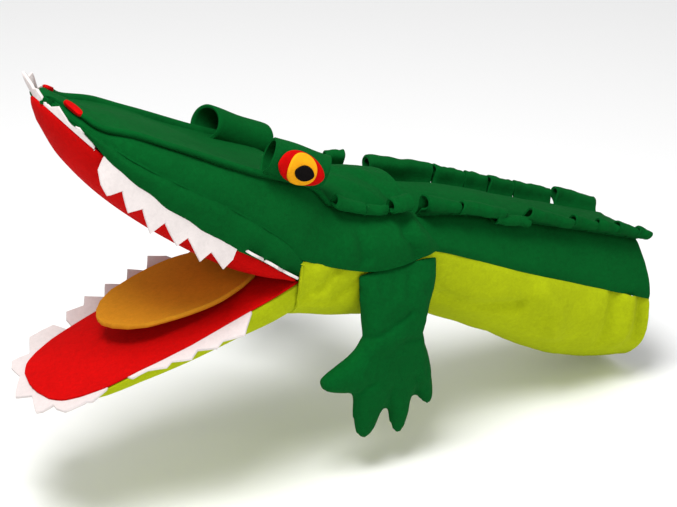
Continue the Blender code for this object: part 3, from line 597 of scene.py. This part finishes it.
def build_wadding():
    """Loose filling in front of the finger tips."""
    lo, hi = box_mm("snout_wadding")
    d0, d1 = ((MOUTH_X - x) / 0.7 for x in (hi[0], lo[0]))
    t = np.linspace(0.02, 0.98, 26)[:, None]
    a = np.linspace(0, 2 * math.pi, 40, endpoint=False)[None, :]
    d = d0 + (d1 - d0) * t
    fat = np.sqrt(np.sin(math.pi * t)) * 0.82
    tall = between(((130, 14), (160, 9), (183, 4.5), (200, 2.5)), d)
    wide = between(((130, 30), (160, 26), (183, 18), (200, 9)), d)
    grid = upper(d, np.cos(a) * wide * fat, tall * 0.95 + 1.5 + np.sin(a) * tall * 0.8 * fat)
    middle = upper(d, 0 * a, tall * 0.95 + 1.5 + 0 * a)
    n = unit(grid - middle)
    outer = grid + n * (0.6 * rough_field(grid, 9, 51))[..., None]
    obj = sheet("snout_wadding_fill", outer, middle + n * 0.4, "wadding", ring=True)
    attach(obj, "head")
    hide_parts("snout_wadding")


# ---------------------------------------------------------------- torso

def build_torso():
    rows = torso_rows()
    us = np.linspace(0, 7, 120)
    full = whole(rows)
    belly = whole([list(reversed(row)) for row in rows])
    obj = skin("back_skin", full, us, np.linspace(5, 9, 50), sleeve_inside, "dark_green_felt",
               (0.8, 0.8), seed=21)
    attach(obj, "torso")
    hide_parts("back_panel")
    for side, name, v0, v1 in ((1, "right", 5, 3), (-1, "left", 9, 11)):
        obj = skin("side_skin_" + name, full, us, np.linspace(v0, v1, 32), sleeve_inside,
                   "dark_green_felt", (0.8, 1.0), (), side, seed=24 + side)
        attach(obj, "torso")
        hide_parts("side_panel_" + name)
    belly_folds = (
        (-3.0, 4.5, ((-7, -47, 17), (-8, -46, -12), (-10, -42, -34))),
        (2.6, 5.0, ((-19, -47, 21), (-21, -47, -6), (-25, -42, -28))),
        (-2.8, 5.0, ((-33, -47.5, 27), (-36, -47.5, 2), (-41, -43, -22))),
        (-3.4, 6.0, ((-182, -45, 56), (-160, -46, 42), (-118, -47, 36))),
        (3.0, 9.0, ((-100, -48, 44), (-86, -48, 26), (-84, -44, 0))))
    obj = skin("belly_skin", belly, us, np.linspace(4, 10, 110), sleeve_inside, "lime_felt",
               (1.0, 1.0), belly_folds, seed=28)
    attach(obj, "torso")
    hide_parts("belly_panel")


# ---------------------------------------------------------------- lower jaw

def build_jaw():
    d = np.linspace(2, 183.7, 70)[:, None]
    share = np.linspace(-1, 1, 40)[None, :]
    w = smooth(LOWER_WIDTH, d) - 0.8
    front = lower(d, w * share, 1.6 + 0.8 * (1 - share ** 2))
    obj = sheet("jaw_lining_felt", front, lower(d, w * share, 0.0 * share), "red_felt")
    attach(obj, "jaw")
    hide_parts("jaw_lining")
    d = np.linspace(2, 184, 70)[:, None]
    t = np.linspace(0, math.pi, 60)[None, :]
    w = smooth(LOWER_WIDTH, d)
    depth = smooth(JAW_DEPTH, d)
    sag = np.sin(t) ** 0.9
    outer = lower(d, np.cos(t) * w, -1.2 - sag * (depth - 1.2))
    inner = lower(d, np.cos(t) * np.maximum(w - FELT, 1.5),
                  -1.2 - sag * np.maximum(depth - 1.2 - FELT, 0.4))
    obj = sheet("jaw_underside_felt", outer, inner, "lime_felt")
    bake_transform(obj)
    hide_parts("jaw_underside")


# ---------------------------------------------------------------- teeth

def edge_path(fr, table, level, side, wider=0.0):
    """Places along a jaw's side edge: root, outwards and up. fr is upper or lower."""
    def at(d):
        root = fr(d, side * (between(table, d) + wider), level)
        ahead = (fr(d + 1, side * between(table, d + 1), level)
                 - fr(d - 1, side * between(table, d - 1), level))
        up = unit(fr(d, 0.0, level + 1.0) - fr(d, 0.0, level))
        return root, side * unit(np.cross(unit(ahead), up)), up
    return at


def tip_path(fr, table, level):
    """The same round a jaw's tip: lengths along the edge, negative on the animal's left."""
    count = 240
    d = np.linspace(0.7 * table[-1][0], table[-1][0], count)
    w = smooth(table, d)
    d = np.concatenate([d, d[::-1]])
    w = np.concatenate([-w, w[::-1]])
    points = fr(d, w, level)
    step = np.linalg.norm(np.diff(points, axis=0), axis=1)
    s = np.concatenate([[0], np.cumsum(step)])
    s -= s[count]
    up = unit(fr(d, 0.0, level + 1.0) - fr(d, 0.0, level))
    out = -unit(np.cross(unit(np.gradient(points, axis=0)), up))

    def at(t):
        return tuple(np.stack([np.interp(t, s, a[:, i]) for i in range(3)], axis=-1)
                     for a in (points, out, up))
    return at


def strip(name, path, corners, seed, curl=0.5):
    """A white felt strip with a zigzag edge. Corners are (place, length, degrees up from outwards)."""
    places = []
    for a, b in zip(corners, corners[1:]):
        count = max(2, int(math.hypot(b[0] - a[0], b[1] - a[1]) / 2.2))
        places += [[p + (q - p) * i / count for p, q in zip(a, b)] for i in range(count)]
    places = np.array(places + [list(corners[-1])], float)
    root, out, up = path(places[:, 0])
    angle = np.radians(places[:, 2])[:, None]
    way = unit(out * np.cos(angle) + up * np.sin(angle))
    reach = places[:, 1][:, None] * np.linspace(0, 1, 7)[None, :] - 1.0
    grid = root[:, None] + way[:, None] * reach[..., None]
    n = unit(np.cross(np.gradient(root, axis=0), way))[:, None]
    lift = curl * (np.maximum(reach, 0) / 20) ** 2 * 4
    lift = lift + 0.5 * rough_field(grid, 14, seed) * np.clip(reach / 8, 0, 1)
    grid = grid + n * lift[..., None]
    return sheet(name, grid + n * TOOTH_FELT / 2, grid - n * TOOTH_FELT / 2, "white_felt")


def build_teeth():
    hanging = (
        (173.9, 3.2), (172.6, 12.8), (166.7, 19.9), (160.3, 23.3), (152.6, 13.8), (143.1, 23.9),
        (135.2, 15.7), (124.3, 27.2), (117.1, 14.8), (103.4, 23.8), (97.4, 14.6), (83.7, 24.3),
        (78.0, 14.6), (65.2, 20.5), (60.6, 11.8), (61.5, 3.0))
    rear = ((56, 1), (51, 9), (47.5, 10), (38, 2.5), (35, 9), (31, 10.5), (21, 2.5), (18, 8.5),
            (13, 10), (4, 1))
    low = {
        -1: ((133, 0.5), (130.5, 2.8), (119.7, 2.0), (108.2, 7.5), (103.3, 4.6), (91.8, 11), (85.1, 6.6),
             (74.1, 13.6), (67.8, 10.5), (53.5, 15.6), (48.2, 10), (39.8, 1)),
        1: ((132, 8), (128, 13), (116, 10.5), (111.5, 16), (100.4, 8), (94.6, 16), (82.4, 8), (75.5, 17),
            (65, 9), (57.8, 18), (47, 10), (42, 2))}
    for side, name in SIDES:
        obj = strip("upper_side_teeth_felt_" + name, edge_path(upper, UPPER_WIDTH, 2.0, side, 0.7),
                    [(d, length, -70 if side < 0 else between(HANG_RIGHT, d)) for d, length in hanging],
                    31 + side, -0.6)
        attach(obj, "head")
        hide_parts("upper_side_teeth_" + name)
        flattened(obj, 110, 0.0)
        obj = strip("upper_rear_teeth_felt_" + name, edge_path(upper, UPPER_WIDTH, 1.4, side, 0.2),
                    [(d, length, 6) for d, length in rear], 35 + side)
        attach(obj, "head")
        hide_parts("upper_rear_teeth_" + name)
        obj = strip("lower_side_teeth_felt_" + name, edge_path(lower, LOWER_WIDTH, -0.6, side, 0.1),
                    [(d, length, -8 if side < 0 else 35) for d, length in low[side]], 38 + side)
        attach(obj, "jaw")
        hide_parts("lower_side_teeth_" + name)
    front = (
        (-58, -1.0, 60), (-56.7, 1.2, 60), (-42, 4.2, 60), (-37, 1.9, 60), (-34.3, 2.2, 60),
        (-24, 5.6, 60), (-19.5, 1.7, 55), (-14, 1.7, 45), (-6, 6.0, 40), (-2, 5.5, 30), (5, 16, 18),
        (9, 12, 28), (14, 15, 38), (27, 8.5, 45), (38, 14.5, 45), (44, 8, 45), (52, 7, 40), (58, 1, 40))
    obj = strip("upper_front_teeth_felt", tip_path(upper, UPPER_WIDTH, 0.5), front, 44)
    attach(obj, "head")
    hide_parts("upper_front_teeth")
    front = (
        (70, 1, 20), (66, 12, 20), (60, 13, 20), (51.5, 17, 15), (38, 5.5, 10), (29.5, 14.5, 5),
        (15.5, 4.5, 0), (-2, 13, 0), (-11.5, 4.5, 0), (-26.5, 13, 0), (-33, 4.5, 0), (-41.5, 11, 0),
        (-54.8, 6.5, 0), (-59, 8.5, 0), (-70, 0.5, 0))
    obj = strip("lower_front_teeth_felt", tip_path(lower, LOWER_WIDTH, -0.6), front, 45)
    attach(obj, "jaw")
    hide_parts("lower_front_teeth")


# ---------------------------------------------------------------- loops of felt

# Cross-sections of the loops, from one root in the seam over the top to the other: (across, up).
FRILL_LOOP = ((-1.1, -1), (-1.5, 4), (-4, 9), (-4.5, 12.5), (-2.5, 15.5), (0, 16.3), (2.5, 15.5),
              (4.5, 12.5), (4, 9), (1.5, 4), (1.1, -1))
EYE_LOOP = ((-1.3, -1), (-6, 2.0), (-11, 6.6), (-12.6, 12.8), (-10.8, 19.4), (-6, 24), (0, 25.4),
            (6, 24), (10.8, 19.4), (12.6, 12.8), (11, 6.6), (6, 2.0), (1.3, -1))
TUCK_LOOP = ((-1.2, -1.2), (-1.5, 1.2), (-1.0, 3.4), (0.4, 4.6), (2.2, 4.2), (3.0, 2.6), (2.4, 0.8),
             (1.4, -1.2))

# Frill pieces: X at both ends, height, lean in degrees and width at both ends.
BACK_FRILLS = {
    -1: ((-198, -171, 1.22, 1.0, 2, 12, 1.4, 0.9), (-169.5, -132, 1.12, 1.0, 12, 22, 1.1, 0.9),
         (-138, -109, 0.9, 0.9, 42, 38, 0.9, 0.8), (-110, -71.5, 1.15, 1.02, 8, 20, 1.05, 0.8),
         (-70, -49.5, 1.12, 1.02, 6, 14, 0.9, 0.7), (-48, -31.5, 1.14, 1.04, 6, 14, 0.9, 0.7),
         (-30, -13.5, 1.14, 1.04, 6, 14, 0.9, 0.7), (-12, 0, 1.12, 1.1, 10, 22, 0.9, 0.7)),
    1: ((-203, -149, 1.3, 0.98, -24, -16, 1.8, 1.0), (-147, -122, 0.98, 0.92, -18, -12, 1.05, 0.8),
        (-120.5, -101, 0.96, 0.9, -16, -10, 0.95, 0.75), (-99.5, -78, 0.94, 0.88, -14, -8, 0.95, 0.75),
        (-76, -42.5, 0.92, 0.85, -10, -4, 0.95, 0.7), (-38, 0, 1.0, 0.85, -6, 4, 0.9, 0.6))}
HEAD_FRILLS = {
    -1: ((-276, -253, 0.72, 0.66, 20, 26, 1.1, 0.9), (-251.5, -233, 0.6, 0.55, 30, 30, 0.85, 0.75),
         (-231.5, -217, 0.85, 0.95, 14, 4, 1.3, 1.35)),
    1: ((-264, -248, 0.45, 0.5, -10, -6, 0.95, 0.85), (-246, -233, 0.55, 0.55, 0, 0, 0.85, 0.75),
        (-230.5, -217, 0.85, 0.95, -16, -20, 1.2, 1.3))}


def seam_frames(rows, column, us, side, inside):
    """Points of a net's column, with directions along it, outwards over the surface and off it."""
    patch = net(rows, us, [column - 0.15, column, column + 0.15])
    point = patch[:, 1]
    along = unit(np.gradient(point, axis=0))
    away = normals(patch, inside(patch))[:, 1]
    out = unit(np.cross(away, along))
    if (out * (patch[:, 2] - patch[:, 0])).sum(-1).mean() < 0:
        out = -out
    flip = np.array([1, -side, 1])
    return point * flip, along * flip, out * flip, away * flip


def loop_shell(frames, profile, count, sizes, widths, leans, thickness, shear=0.0):
    """Outer and inner grids of a felt loop along a seam. Each size, width and lean is for one station."""
    point, along, out, away = (f[:, None] for f in frames)
    flat = curve(profile, np.linspace(0, len(profile) - 1, count))
    turn = np.gradient(flat, axis=0)
    off = unit(np.stack([-turn[:, 1], turn[:, 0]], axis=-1))
    inner = flat - off * thickness
    if np.abs(inner[count // 2]).max() > np.abs(flat[count // 2]).max():
        inner = flat + off * thickness
    low = flat[:, 1] < 0.45 * flat[:, 1].max()
    keep = np.sign(flat[:, 0]) * np.maximum(np.abs(flat[:, 0]) - thickness, 0.12)
    inner[:, 0] = np.where(low, keep, inner[:, 0])
    lean = np.radians(leans)[:, None, None]
    o = out * np.cos(lean) - away * np.sin(lean)
    h = away * np.cos(lean) + out * np.sin(lean)
    grids = []
    for section in (flat, inner):
        x = section[None, :, 0:1] * np.asarray(widths)[:, None, None]
        y = section[None, :, 1:2] * np.asarray(sizes)[:, None, None]
        grids.append(point + o * x + h * y - along * x * shear)
    return grids


def build_frill(prefix, name, side, body, rows, last_row, inside, segments):
    """One seam's row of felt loops, each its own length of felt. last_row ends the seam."""
    us = np.linspace(0, last_row, 400)
    xs = net(rows, us, [2.0])[:, 0, 0]
    order = np.argsort(xs)
    shells = []
    for i, (x0, x1, h0, h1, lean0, lean1, w0, w1) in enumerate(segments):
        t = np.linspace(0, 1, max(6, int((x1 - x0) / 2.5)))
        u = np.interp(x0 + (x1 - x0) * t, xs[order], us[order])
        frames = seam_frames(rows, 2.0, u, side, inside)
        wave = 0.03 * np.sin(t * 9 + i * 2.1) + 0.02 * np.sin(t * 21 + i)
        shells.append(loop_shell(frames, FRILL_LOOP, 30, h0 + (h1 - h0) * t + wave,
                                 w0 + (w1 - w0) * t, lean0 + (lean1 - lean0) * t + 60 * wave,
                                 FRILL_FELT, 0.25 * (1 if i % 2 else -0.6)))
    obj = joined(prefix + "felt_" + name, shells, "dark_green_felt")
    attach(obj, body)
    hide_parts(prefix + name)


def build_loops():
    head = head_rows()
    for side, name in SIDES:
        build_frill("back_frill_", name, side, "torso", torso_rows(), 6, sleeve_inside, BACK_FRILLS[side])
        build_frill("head_frill_", name, side, "head", head, 11, head_inside, HEAD_FRILLS[side])
        u = np.linspace(1.55, 8.0, 110)
        grow = np.interp(u, (1.55, 2.3, 6.5, 8.0), (0.35, 0.9, 1.0, 0.8))
        shell = loop_shell(seam_frames(head, 2.0, u, side, head_inside), TUCK_LOOP, 18, grow,
                           0.4 + 0.6 * grow, 18 + 8 * np.sin(u * 3.0), TUCK_FELT)
        obj = joined("ridge_tuck_" + name, [shell], "dark_green_felt")
        neck_blend(obj)
        build_eye(side, name)


def eye_frame(side, name):
    """Front end and directions of an eye roll, found from the roll's box and the ridge's slope."""
    lo, hi = box_mm("eye_roll_" + name)
    along = unit(np.array([1.0, 0.0, -RIDGE_SLOPE]))
    away = np.array([-along[2], 0, along[0]])
    half = (hi[0] - lo[0] - 2 * CAD_EYE_RADIUS * abs(along[2])) / 2 / along[0]
    front = (lo + hi) / 2 - along * half - away * EYE_SINK[side]
    base = front - away * EYE_RADIUS
    out = np.array([0.0, side, 0.0])
    c, s = math.cos(EYE_LEAN[side]), math.sin(EYE_LEAN[side])
    out, away = out * c - away * s, away * c + out * s
    return base + away * EYE_RADIUS, along, out, away, 2 * half


def build_eye(side, name):
    front, along, out, away, length = eye_frame(side, name)
    t = np.linspace(0, 1, 24)
    base = front[None] + along[None] * (t * length)[:, None] - away[None] * EYE_RADIUS
    frames = (base, np.tile(along, (24, 1)), np.tile(out, (24, 1)), np.tile(away, (24, 1)))
    swell = 1.03 - 0.05 * t + 0.015 * np.sin(t * 7 + side)
    shell = loop_shell(frames, EYE_LOOP, 48, swell, 1.0 - 0.04 * t, 0 * t, EYE_FELT, 0.34)
    roll = joined("eye_roll_felt_" + name, [shell], "dark_green_felt")
    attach(roll, "head")
    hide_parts("eye_roll_" + name)

    ring = curve(EYE_LOOP, np.linspace(0, len(EYE_LOOP) - 1, 200)) - (0, EYE_RADIUS)
    polar = np.arctan2(ring[:, 1], ring[:, 0])
    outer_half = np.abs(polar) < 1.5
    order = np.argsort(polar[outer_half])
    angles = polar[outer_half][order]
    radii = np.linalg.norm(ring[outer_half], axis=1)[order]

    def on_roll(a, b, h):
        """The roll's surface: a along it, b round it and h above it."""
        angle = math.radians(2.2) + b / 13.0
        r = np.interp(angle, angles, radii) * 1.01 + h
        return (front + along * (19.2 + a)[..., None] + out * (np.cos(angle) * r)[..., None]
                + away * (np.sin(angle) * r)[..., None])

    # Name, slot, half length and width, roundness, shear, height of both faces, offset, points.
    layers = (("eye_rim_", "red_felt", 18.8, 12.0, 1.55, -0.25, 0.1, 1.7, 0.0, 0.0, 60),
              ("eye_disc_", "orange_felt", 11.2, 10.4, 2.0, -0.12, 1.5, 3.2, 0.0, 0.0, 48),
              ("eye_pupil_", "black_felt", 7.6, 4.3, 1.5, -0.05, 3.0, 4.5, 1.3, -0.8, 40))
    for prefix, slot, a_size, b_size, power, shear, h0, h1, a0, b0, count in layers:
        shape(prefix + name, on_roll, a_size, b_size, power, shear, h0, h1, a0, b0, count, slot)


def shape(node_name, surface, a_size, b_size, power, shear, h0, h1, a0, b0, count, slot):
    """A felt shape glued on a surface. Power 2 is an ellipse, and less is an almond."""
    t = np.linspace(0, 2 * math.pi, count, endpoint=False)[None, :]
    r = np.array([0.02, 0.35, 0.65, 0.86, 0.96, 1.0])[:, None]
    b = np.sign(np.sin(t)) * np.abs(np.sin(t)) ** (2 / power) * b_size * r
    a = np.cos(t) * a_size * r + shear * b
    soft = np.where(r > 0.99, 0.35, 0.0) + 0 * t
    top = surface(a0 + a, b0 + b, h1 - soft)
    bottom = surface(a0 + a, b0 + b, h0 + 0 * b)
    obj = sheet(node_name + "_felt", top, bottom, slot, ring=True)
    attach(obj, "head")
    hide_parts(node_name)


def build_nostrils():
    full = whole(head_rows())

    def on_snout(side):
        def at(a, b, h):
            """The snout's skin: a towards the eyes, b across it and h above it."""
            u = 1.72 + a / 14.5
            v = 4 + side * 2.2 + b / 7.5
            points = np.array([net(full, [p, p + 0.02], [q, q + 0.02])
                               for p, q in zip(u.ravel(), v.ravel())])
            n = unit(np.cross(points[:, 1, 0] - points[:, 0, 0], points[:, 0, 1] - points[:, 0, 0]))
            n = np.where(n[:, 2:] > 0, n, -n)
            return (points[:, 0, 0] + n * np.asarray(h).reshape(-1, 1)).reshape(a.shape + (3,))
        return at

    for side, name in SIDES:
        shape("nostril_" + name, on_snout(side), 4.9, 4.9, 2.0, 0.0, 0.8, 3.4, 0.0, 0.0, 28, "red_felt")


# ---------------------------------------------------------------- tongue and boards

def build_tongue():
    root = np.array(joint_at["tongue_lift"])
    drop = JAW_DROP - TONGUE_LIFT
    way = np.array([-math.cos(drop), 0, -math.sin(drop)])
    lift = np.array([-math.sin(drop), 0, math.cos(drop)])
    a = np.concatenate([np.linspace(0, 92, 40), np.linspace(94, 106, 24)])[:, None]
    share = np.linspace(-1, 1, 28)[None, :]
    y = smooth(TONGUE_WIDTH, a) * share
    rise = 0.9 * np.cos(share * 1.4) + 0.8 * (a / 110) ** 2
    flat = root + way * a[..., None] + np.array([0, 1, 0]) * y[..., None]
    top = flat + lift * (3.7 + rise)[..., None]
    bottom = flat + lift * (0.1 + rise)[..., None]
    obj = sheet("tongue_felt_piece", top, bottom, "tongue_felt")
    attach(obj, "tongue")
    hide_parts("tongue")
    d = np.linspace(10, 173, 40)[:, None]
    share = np.linspace(-1, 1, 16)[None, :]
    w = between(LOWER_WIDTH, d) - 5.5
    obj = sheet("jaw_board_card", lower(d, w * share, -0.6), lower(d, w * share, -2.4), "stiff_board")
    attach(obj, "jaw")
    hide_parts("jaw_board")


# ---------------------------------------------------------------- forelegs

# A foreleg's outline in side view, round the toes: (x, z).
LEG = ((-260, 101), (-230, 101.5), (-200, 101), (-198, 88), (-201, 70), (-206, 46), (-201, 26),
       (-198, 6), (-197.5, -8), (-202, -13), (-208, -8), (-214, 1), (-217, -12), (-222, -27), (-228, -29),
       (-234, -19), (-239, -7), (-246, -16), (-253, -25), (-260, -25), (-264, -17), (-266, -4), (-267, 12),
       (-276, 15.5), (-285, 19), (-290.5, 25), (-287, 31), (-276, 37), (-265, 44), (-258.5, 52), (-258, 62),
       (-259, 77), (-261, 92))
LEG_FULLNESS = ((-30, 4.6), (0, 6.0), (30, 8.0), (60, 9.0), (85, 5.6), (101, 2.6))   # half thickness at z
LEG_STEP = 3.2                    # spacing of the mesh
LEG_CREASES = (                   # depth, width and line
    (2.0, 2.6, ((-256, 0, 52), (-240, 0, 58), (-224, 0, 66))),
    (1.0, 4.0, ((-252, 0, 58), (-236, 0, 65))),
    (1.4, 2.4, ((-206, 0, 46), (-218, 0, 44), (-228, 0, 47))),
    (-0.8, 5.0, ((-250, 0, 44), (-230, 0, 50))),
    (1.3, 2.2, ((-239, 0, -7), (-238, 0, 3), (-237, 0, 10))),
    (1.3, 2.2, ((-214, 0, 0), (-216, 0, 8), (-218, 0, 14))),
    (1.2, 2.4, ((-266, 0, 12), (-258, 0, 16), (-252, 0, 19))),
    (1.2, 3.0, ((-246, 0, 92), (-242, 0, 80))),
    (1.0, 3.0, ((-222, 0, 92), (-224, 0, 78))))
PUFF_STEPS = 20
PUFF_LIMIT = 0.0022               # metres that the cloth simulation may move a point


def leg_mesh(lo, hi, middle):
    """Points and faces of a stuffed foreleg: two faces sewn round LEG, thickest away from the seam."""
    outline = curve([(*p, 0) for p in LEG] + [(*LEG[0], 0)], np.linspace(0, len(LEG), 210))[:-1, :2]
    ring = [tuple(p) for p in outline]
    loop = [(*p, 0) for p in ring] + [(*ring[0], 0)]
    gx, gz = np.meshgrid(np.arange(lo[0], hi[0], LEG_STEP), np.arange(lo[2], hi[2], LEG_STEP),
                         indexing="ij")
    far = near_line(np.stack([gx, gz, 0 * gx], axis=-1), loop)
    inside = np.zeros(gx.shape, bool)
    for (ax, az), (bx, bz) in zip(ring, ring[1:] + ring[:1]):
        if az != bz:
            crosses = (az > gz) != (bz > gz)
            inside ^= crosses & (gx < ax + (bx - ax) * (gz - az) / (bz - az))
    ok = inside & (far > LEG_STEP / 2)
    points = [Vector(p) for p in ring] + [Vector((x, z)) for x, z in zip(gx[ok], gz[ok])]
    edges = [(i, (i + 1) % len(ring)) for i in range(len(ring))]
    flat, _, tris, _, _, _ = delaunay_2d_cdt(points, edges, [], 1, 1e-5)
    flat = np.array([tuple(p) for p in flat])
    depth = near_line(np.concatenate([flat, np.zeros((len(flat), 1))], axis=1), loop)
    depth[:len(ring)] = 0
    full = between(LEG_FULLNESS, flat[:, 1])
    round_off = np.sqrt(np.maximum(1 - (1 - np.minimum(depth / 12.5, 1)) ** 2, 0))
    half = np.maximum(full * (0.12 + 0.88 * round_off), 0.8)
    count = len(flat)
    verts = np.concatenate([np.stack([flat[:, 0], middle - half, flat[:, 1]], axis=-1),
                            np.stack([flat[:, 0], middle + half, flat[:, 1]], axis=-1)])
    faces = [tuple(t) for t in tris] + [tuple(count + i for i in reversed(t)) for t in tris]
    faces += [(a, a + count, b + count, b) for a, b in edges]
    return verts, faces


def build_legs():
    lo, hi = box_mm("foreleg_skin_left")
    middle = (lo[1] + hi[1]) / 2
    left = piece("foreleg_padded_left", *leg_mesh(lo, hi, middle), "dark_green_felt", 80)
    puff(left)
    crease(left, middle)
    right = left.copy()
    right.data = left.data.copy()
    right.name = "foreleg_padded_right"
    bpy.context.collection.objects.link(right)
    _, y0, z0 = (c * 0.001 for c in joint_at["foreleg_right_swing"])
    for v in right.data.vertices:
        y = -v.co.y - y0
        z = v.co.z - z0
        v.co.y = y0 + y * math.cos(LEG_SPREAD) - z * math.sin(LEG_SPREAD)
        v.co.z = z0 + y * math.sin(LEG_SPREAD) + z * math.cos(LEG_SPREAD)
    right.data.flip_normals()
    for obj, name in ((left, "left"), (right, "right")):
        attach(obj, "foreleg_" + name)
        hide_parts("foreleg_skin_" + name, "foreleg_stuffing_" + name)


def puff(obj):
    """Blows the stuffed shape up a little with a cloth simulation. Its top seam stays in place."""
    remesh = obj.modifiers.new("remesh", "REMESH")
    remesh.mode = "VOXEL"
    remesh.voxel_size = LEG_STEP * 0.001
    apply_modifiers(obj)
    start = np.array([tuple(v.co) for v in obj.data.vertices])
    pinned = obj.vertex_groups.new(name="seam")
    pinned.add([i for i, p in enumerate(start) if p[2] > 0.096], 1.0, "REPLACE")
    cloth = obj.modifiers.new("cloth", "CLOTH")
    cloth.settings.use_pressure = True
    cloth.settings.uniform_pressure_force = 4.0
    cloth.settings.vertex_group_mass = "seam"
    cloth.settings.effector_weights.gravity = 0
    cloth.settings.bending_stiffness = 0.6
    cloth.settings.shrink_min = -0.04
    scene = bpy.context.scene
    for step in range(1, PUFF_STEPS + 1):
        scene.frame_set(step)
    apply_modifiers(obj)
    scene.frame_set(1)
    end = np.array([tuple(v.co) for v in obj.data.vertices])
    move = end - start
    size = np.linalg.norm(move, axis=1, keepdims=True)
    end = start + move * np.minimum(1, PUFF_LIMIT / np.maximum(size, 1e-9))
    obj.data.vertices.foreach_set("co", end.ravel())
    detail = obj.modifiers.new("detail", "SUBSURF")
    detail.levels = 1
    detail.render_levels = 1
    apply_modifiers(obj)
    obj.data.shade_smooth()


def apply_modifiers(obj):
    """Turns what the modifiers show into the object's own mesh."""
    depsgraph = bpy.context.evaluated_depsgraph_get()
    mesh = bpy.data.meshes.new_from_object(obj.evaluated_get(depsgraph), depsgraph=depsgraph)
    obj.modifiers.clear()
    obj.vertex_groups.clear()
    obj.data = mesh


def crease(obj, middle):
    """Presses the creases of the elbow, the toes and the top seam into both faces of a foreleg."""
    co = np.empty(len(obj.data.vertices) * 3)
    obj.data.vertices.foreach_get("co", co)
    co = co.reshape(-1, 3) * 1000
    flat = np.stack([co[:, 0], 0 * co[:, 0], co[:, 2]], axis=-1)
    total = np.zeros(len(co))
    for height, width, line in LEG_CREASES:
        total += height * np.exp(-(near_line(flat, line) / width) ** 2)
    total += 0.35 * rough_field(co, 9, 3)
    away = np.clip((co[:, 1] - middle) / 4, -1, 1)
    co[:, 1] -= away * total
    obj.data.vertices.foreach_set("co", (co * 0.001).ravel())


# ---------------------------------------------------------------- stage

def build_stage():
    """A pale floor, an even white world, a soft key light above the snout and a weak fill."""
    mesh = bpy.data.meshes.new("floor")
    z = cad_lo.z - 0.004
    mesh.from_pydata([(-6, -6, z), (6, -6, z), (6, 6, z), (-6, 6, z)], [], [(0, 1, 2, 3)])
    material = bpy.data.materials.new("floor")
    material.use_nodes = True
    shader = material.node_tree.nodes["Principled BSDF"]
    shader.inputs["Base Color"].default_value = (0.93, 0.93, 0.93, 1)
    shader.inputs["Roughness"].default_value = 0.9
    mesh.materials.append(material)
    floor = bpy.data.objects.new("floor", mesh)
    bpy.context.collection.objects.link(floor)
    world = bpy.data.worlds.new("world")
    bpy.context.scene.world = world
    world.use_nodes = True
    world.node_tree.nodes["Background"].inputs[0].default_value = (1, 1, 1, 1)
    world.node_tree.nodes["Background"].inputs[1].default_value = 0.56
    target = Vector((-0.25, 0, 0.1))
    for name, place, size, watts in (("key", (-0.75, -0.35, 1.6), 0.7, 27),
                                     ("fill", (0.5, -1.7, 0.7), 1.2, 5)):
        data = bpy.data.lights.new(name, "AREA")
        data.size = size
        data.energy = watts
        light = bpy.data.objects.new(name, data)
        bpy.context.collection.objects.link(light)
        light.location = place
        light.rotation_euler = (target - Vector(place)).to_track_quat("-Z", "Y").to_euler()
    bpy.context.scene.view_settings.view_transform = "Standard"


build_head()
build_palate()
build_wadding()
build_torso()
build_jaw()
build_teeth()
build_loops()
build_nostrils()
build_tongue()
build_legs()
# CAD nodes that stay in sight, such as straps and boards, get their slot's material.
for obj in frame["nodes"].values():
    slot_name = next(s["material_slot"] for s in frame["record"]["subparts"] if s["node"] == obj.name)
    obj.data.materials.clear()
    obj.data.materials.append(MATERIALS[slot_name])
build_stage()
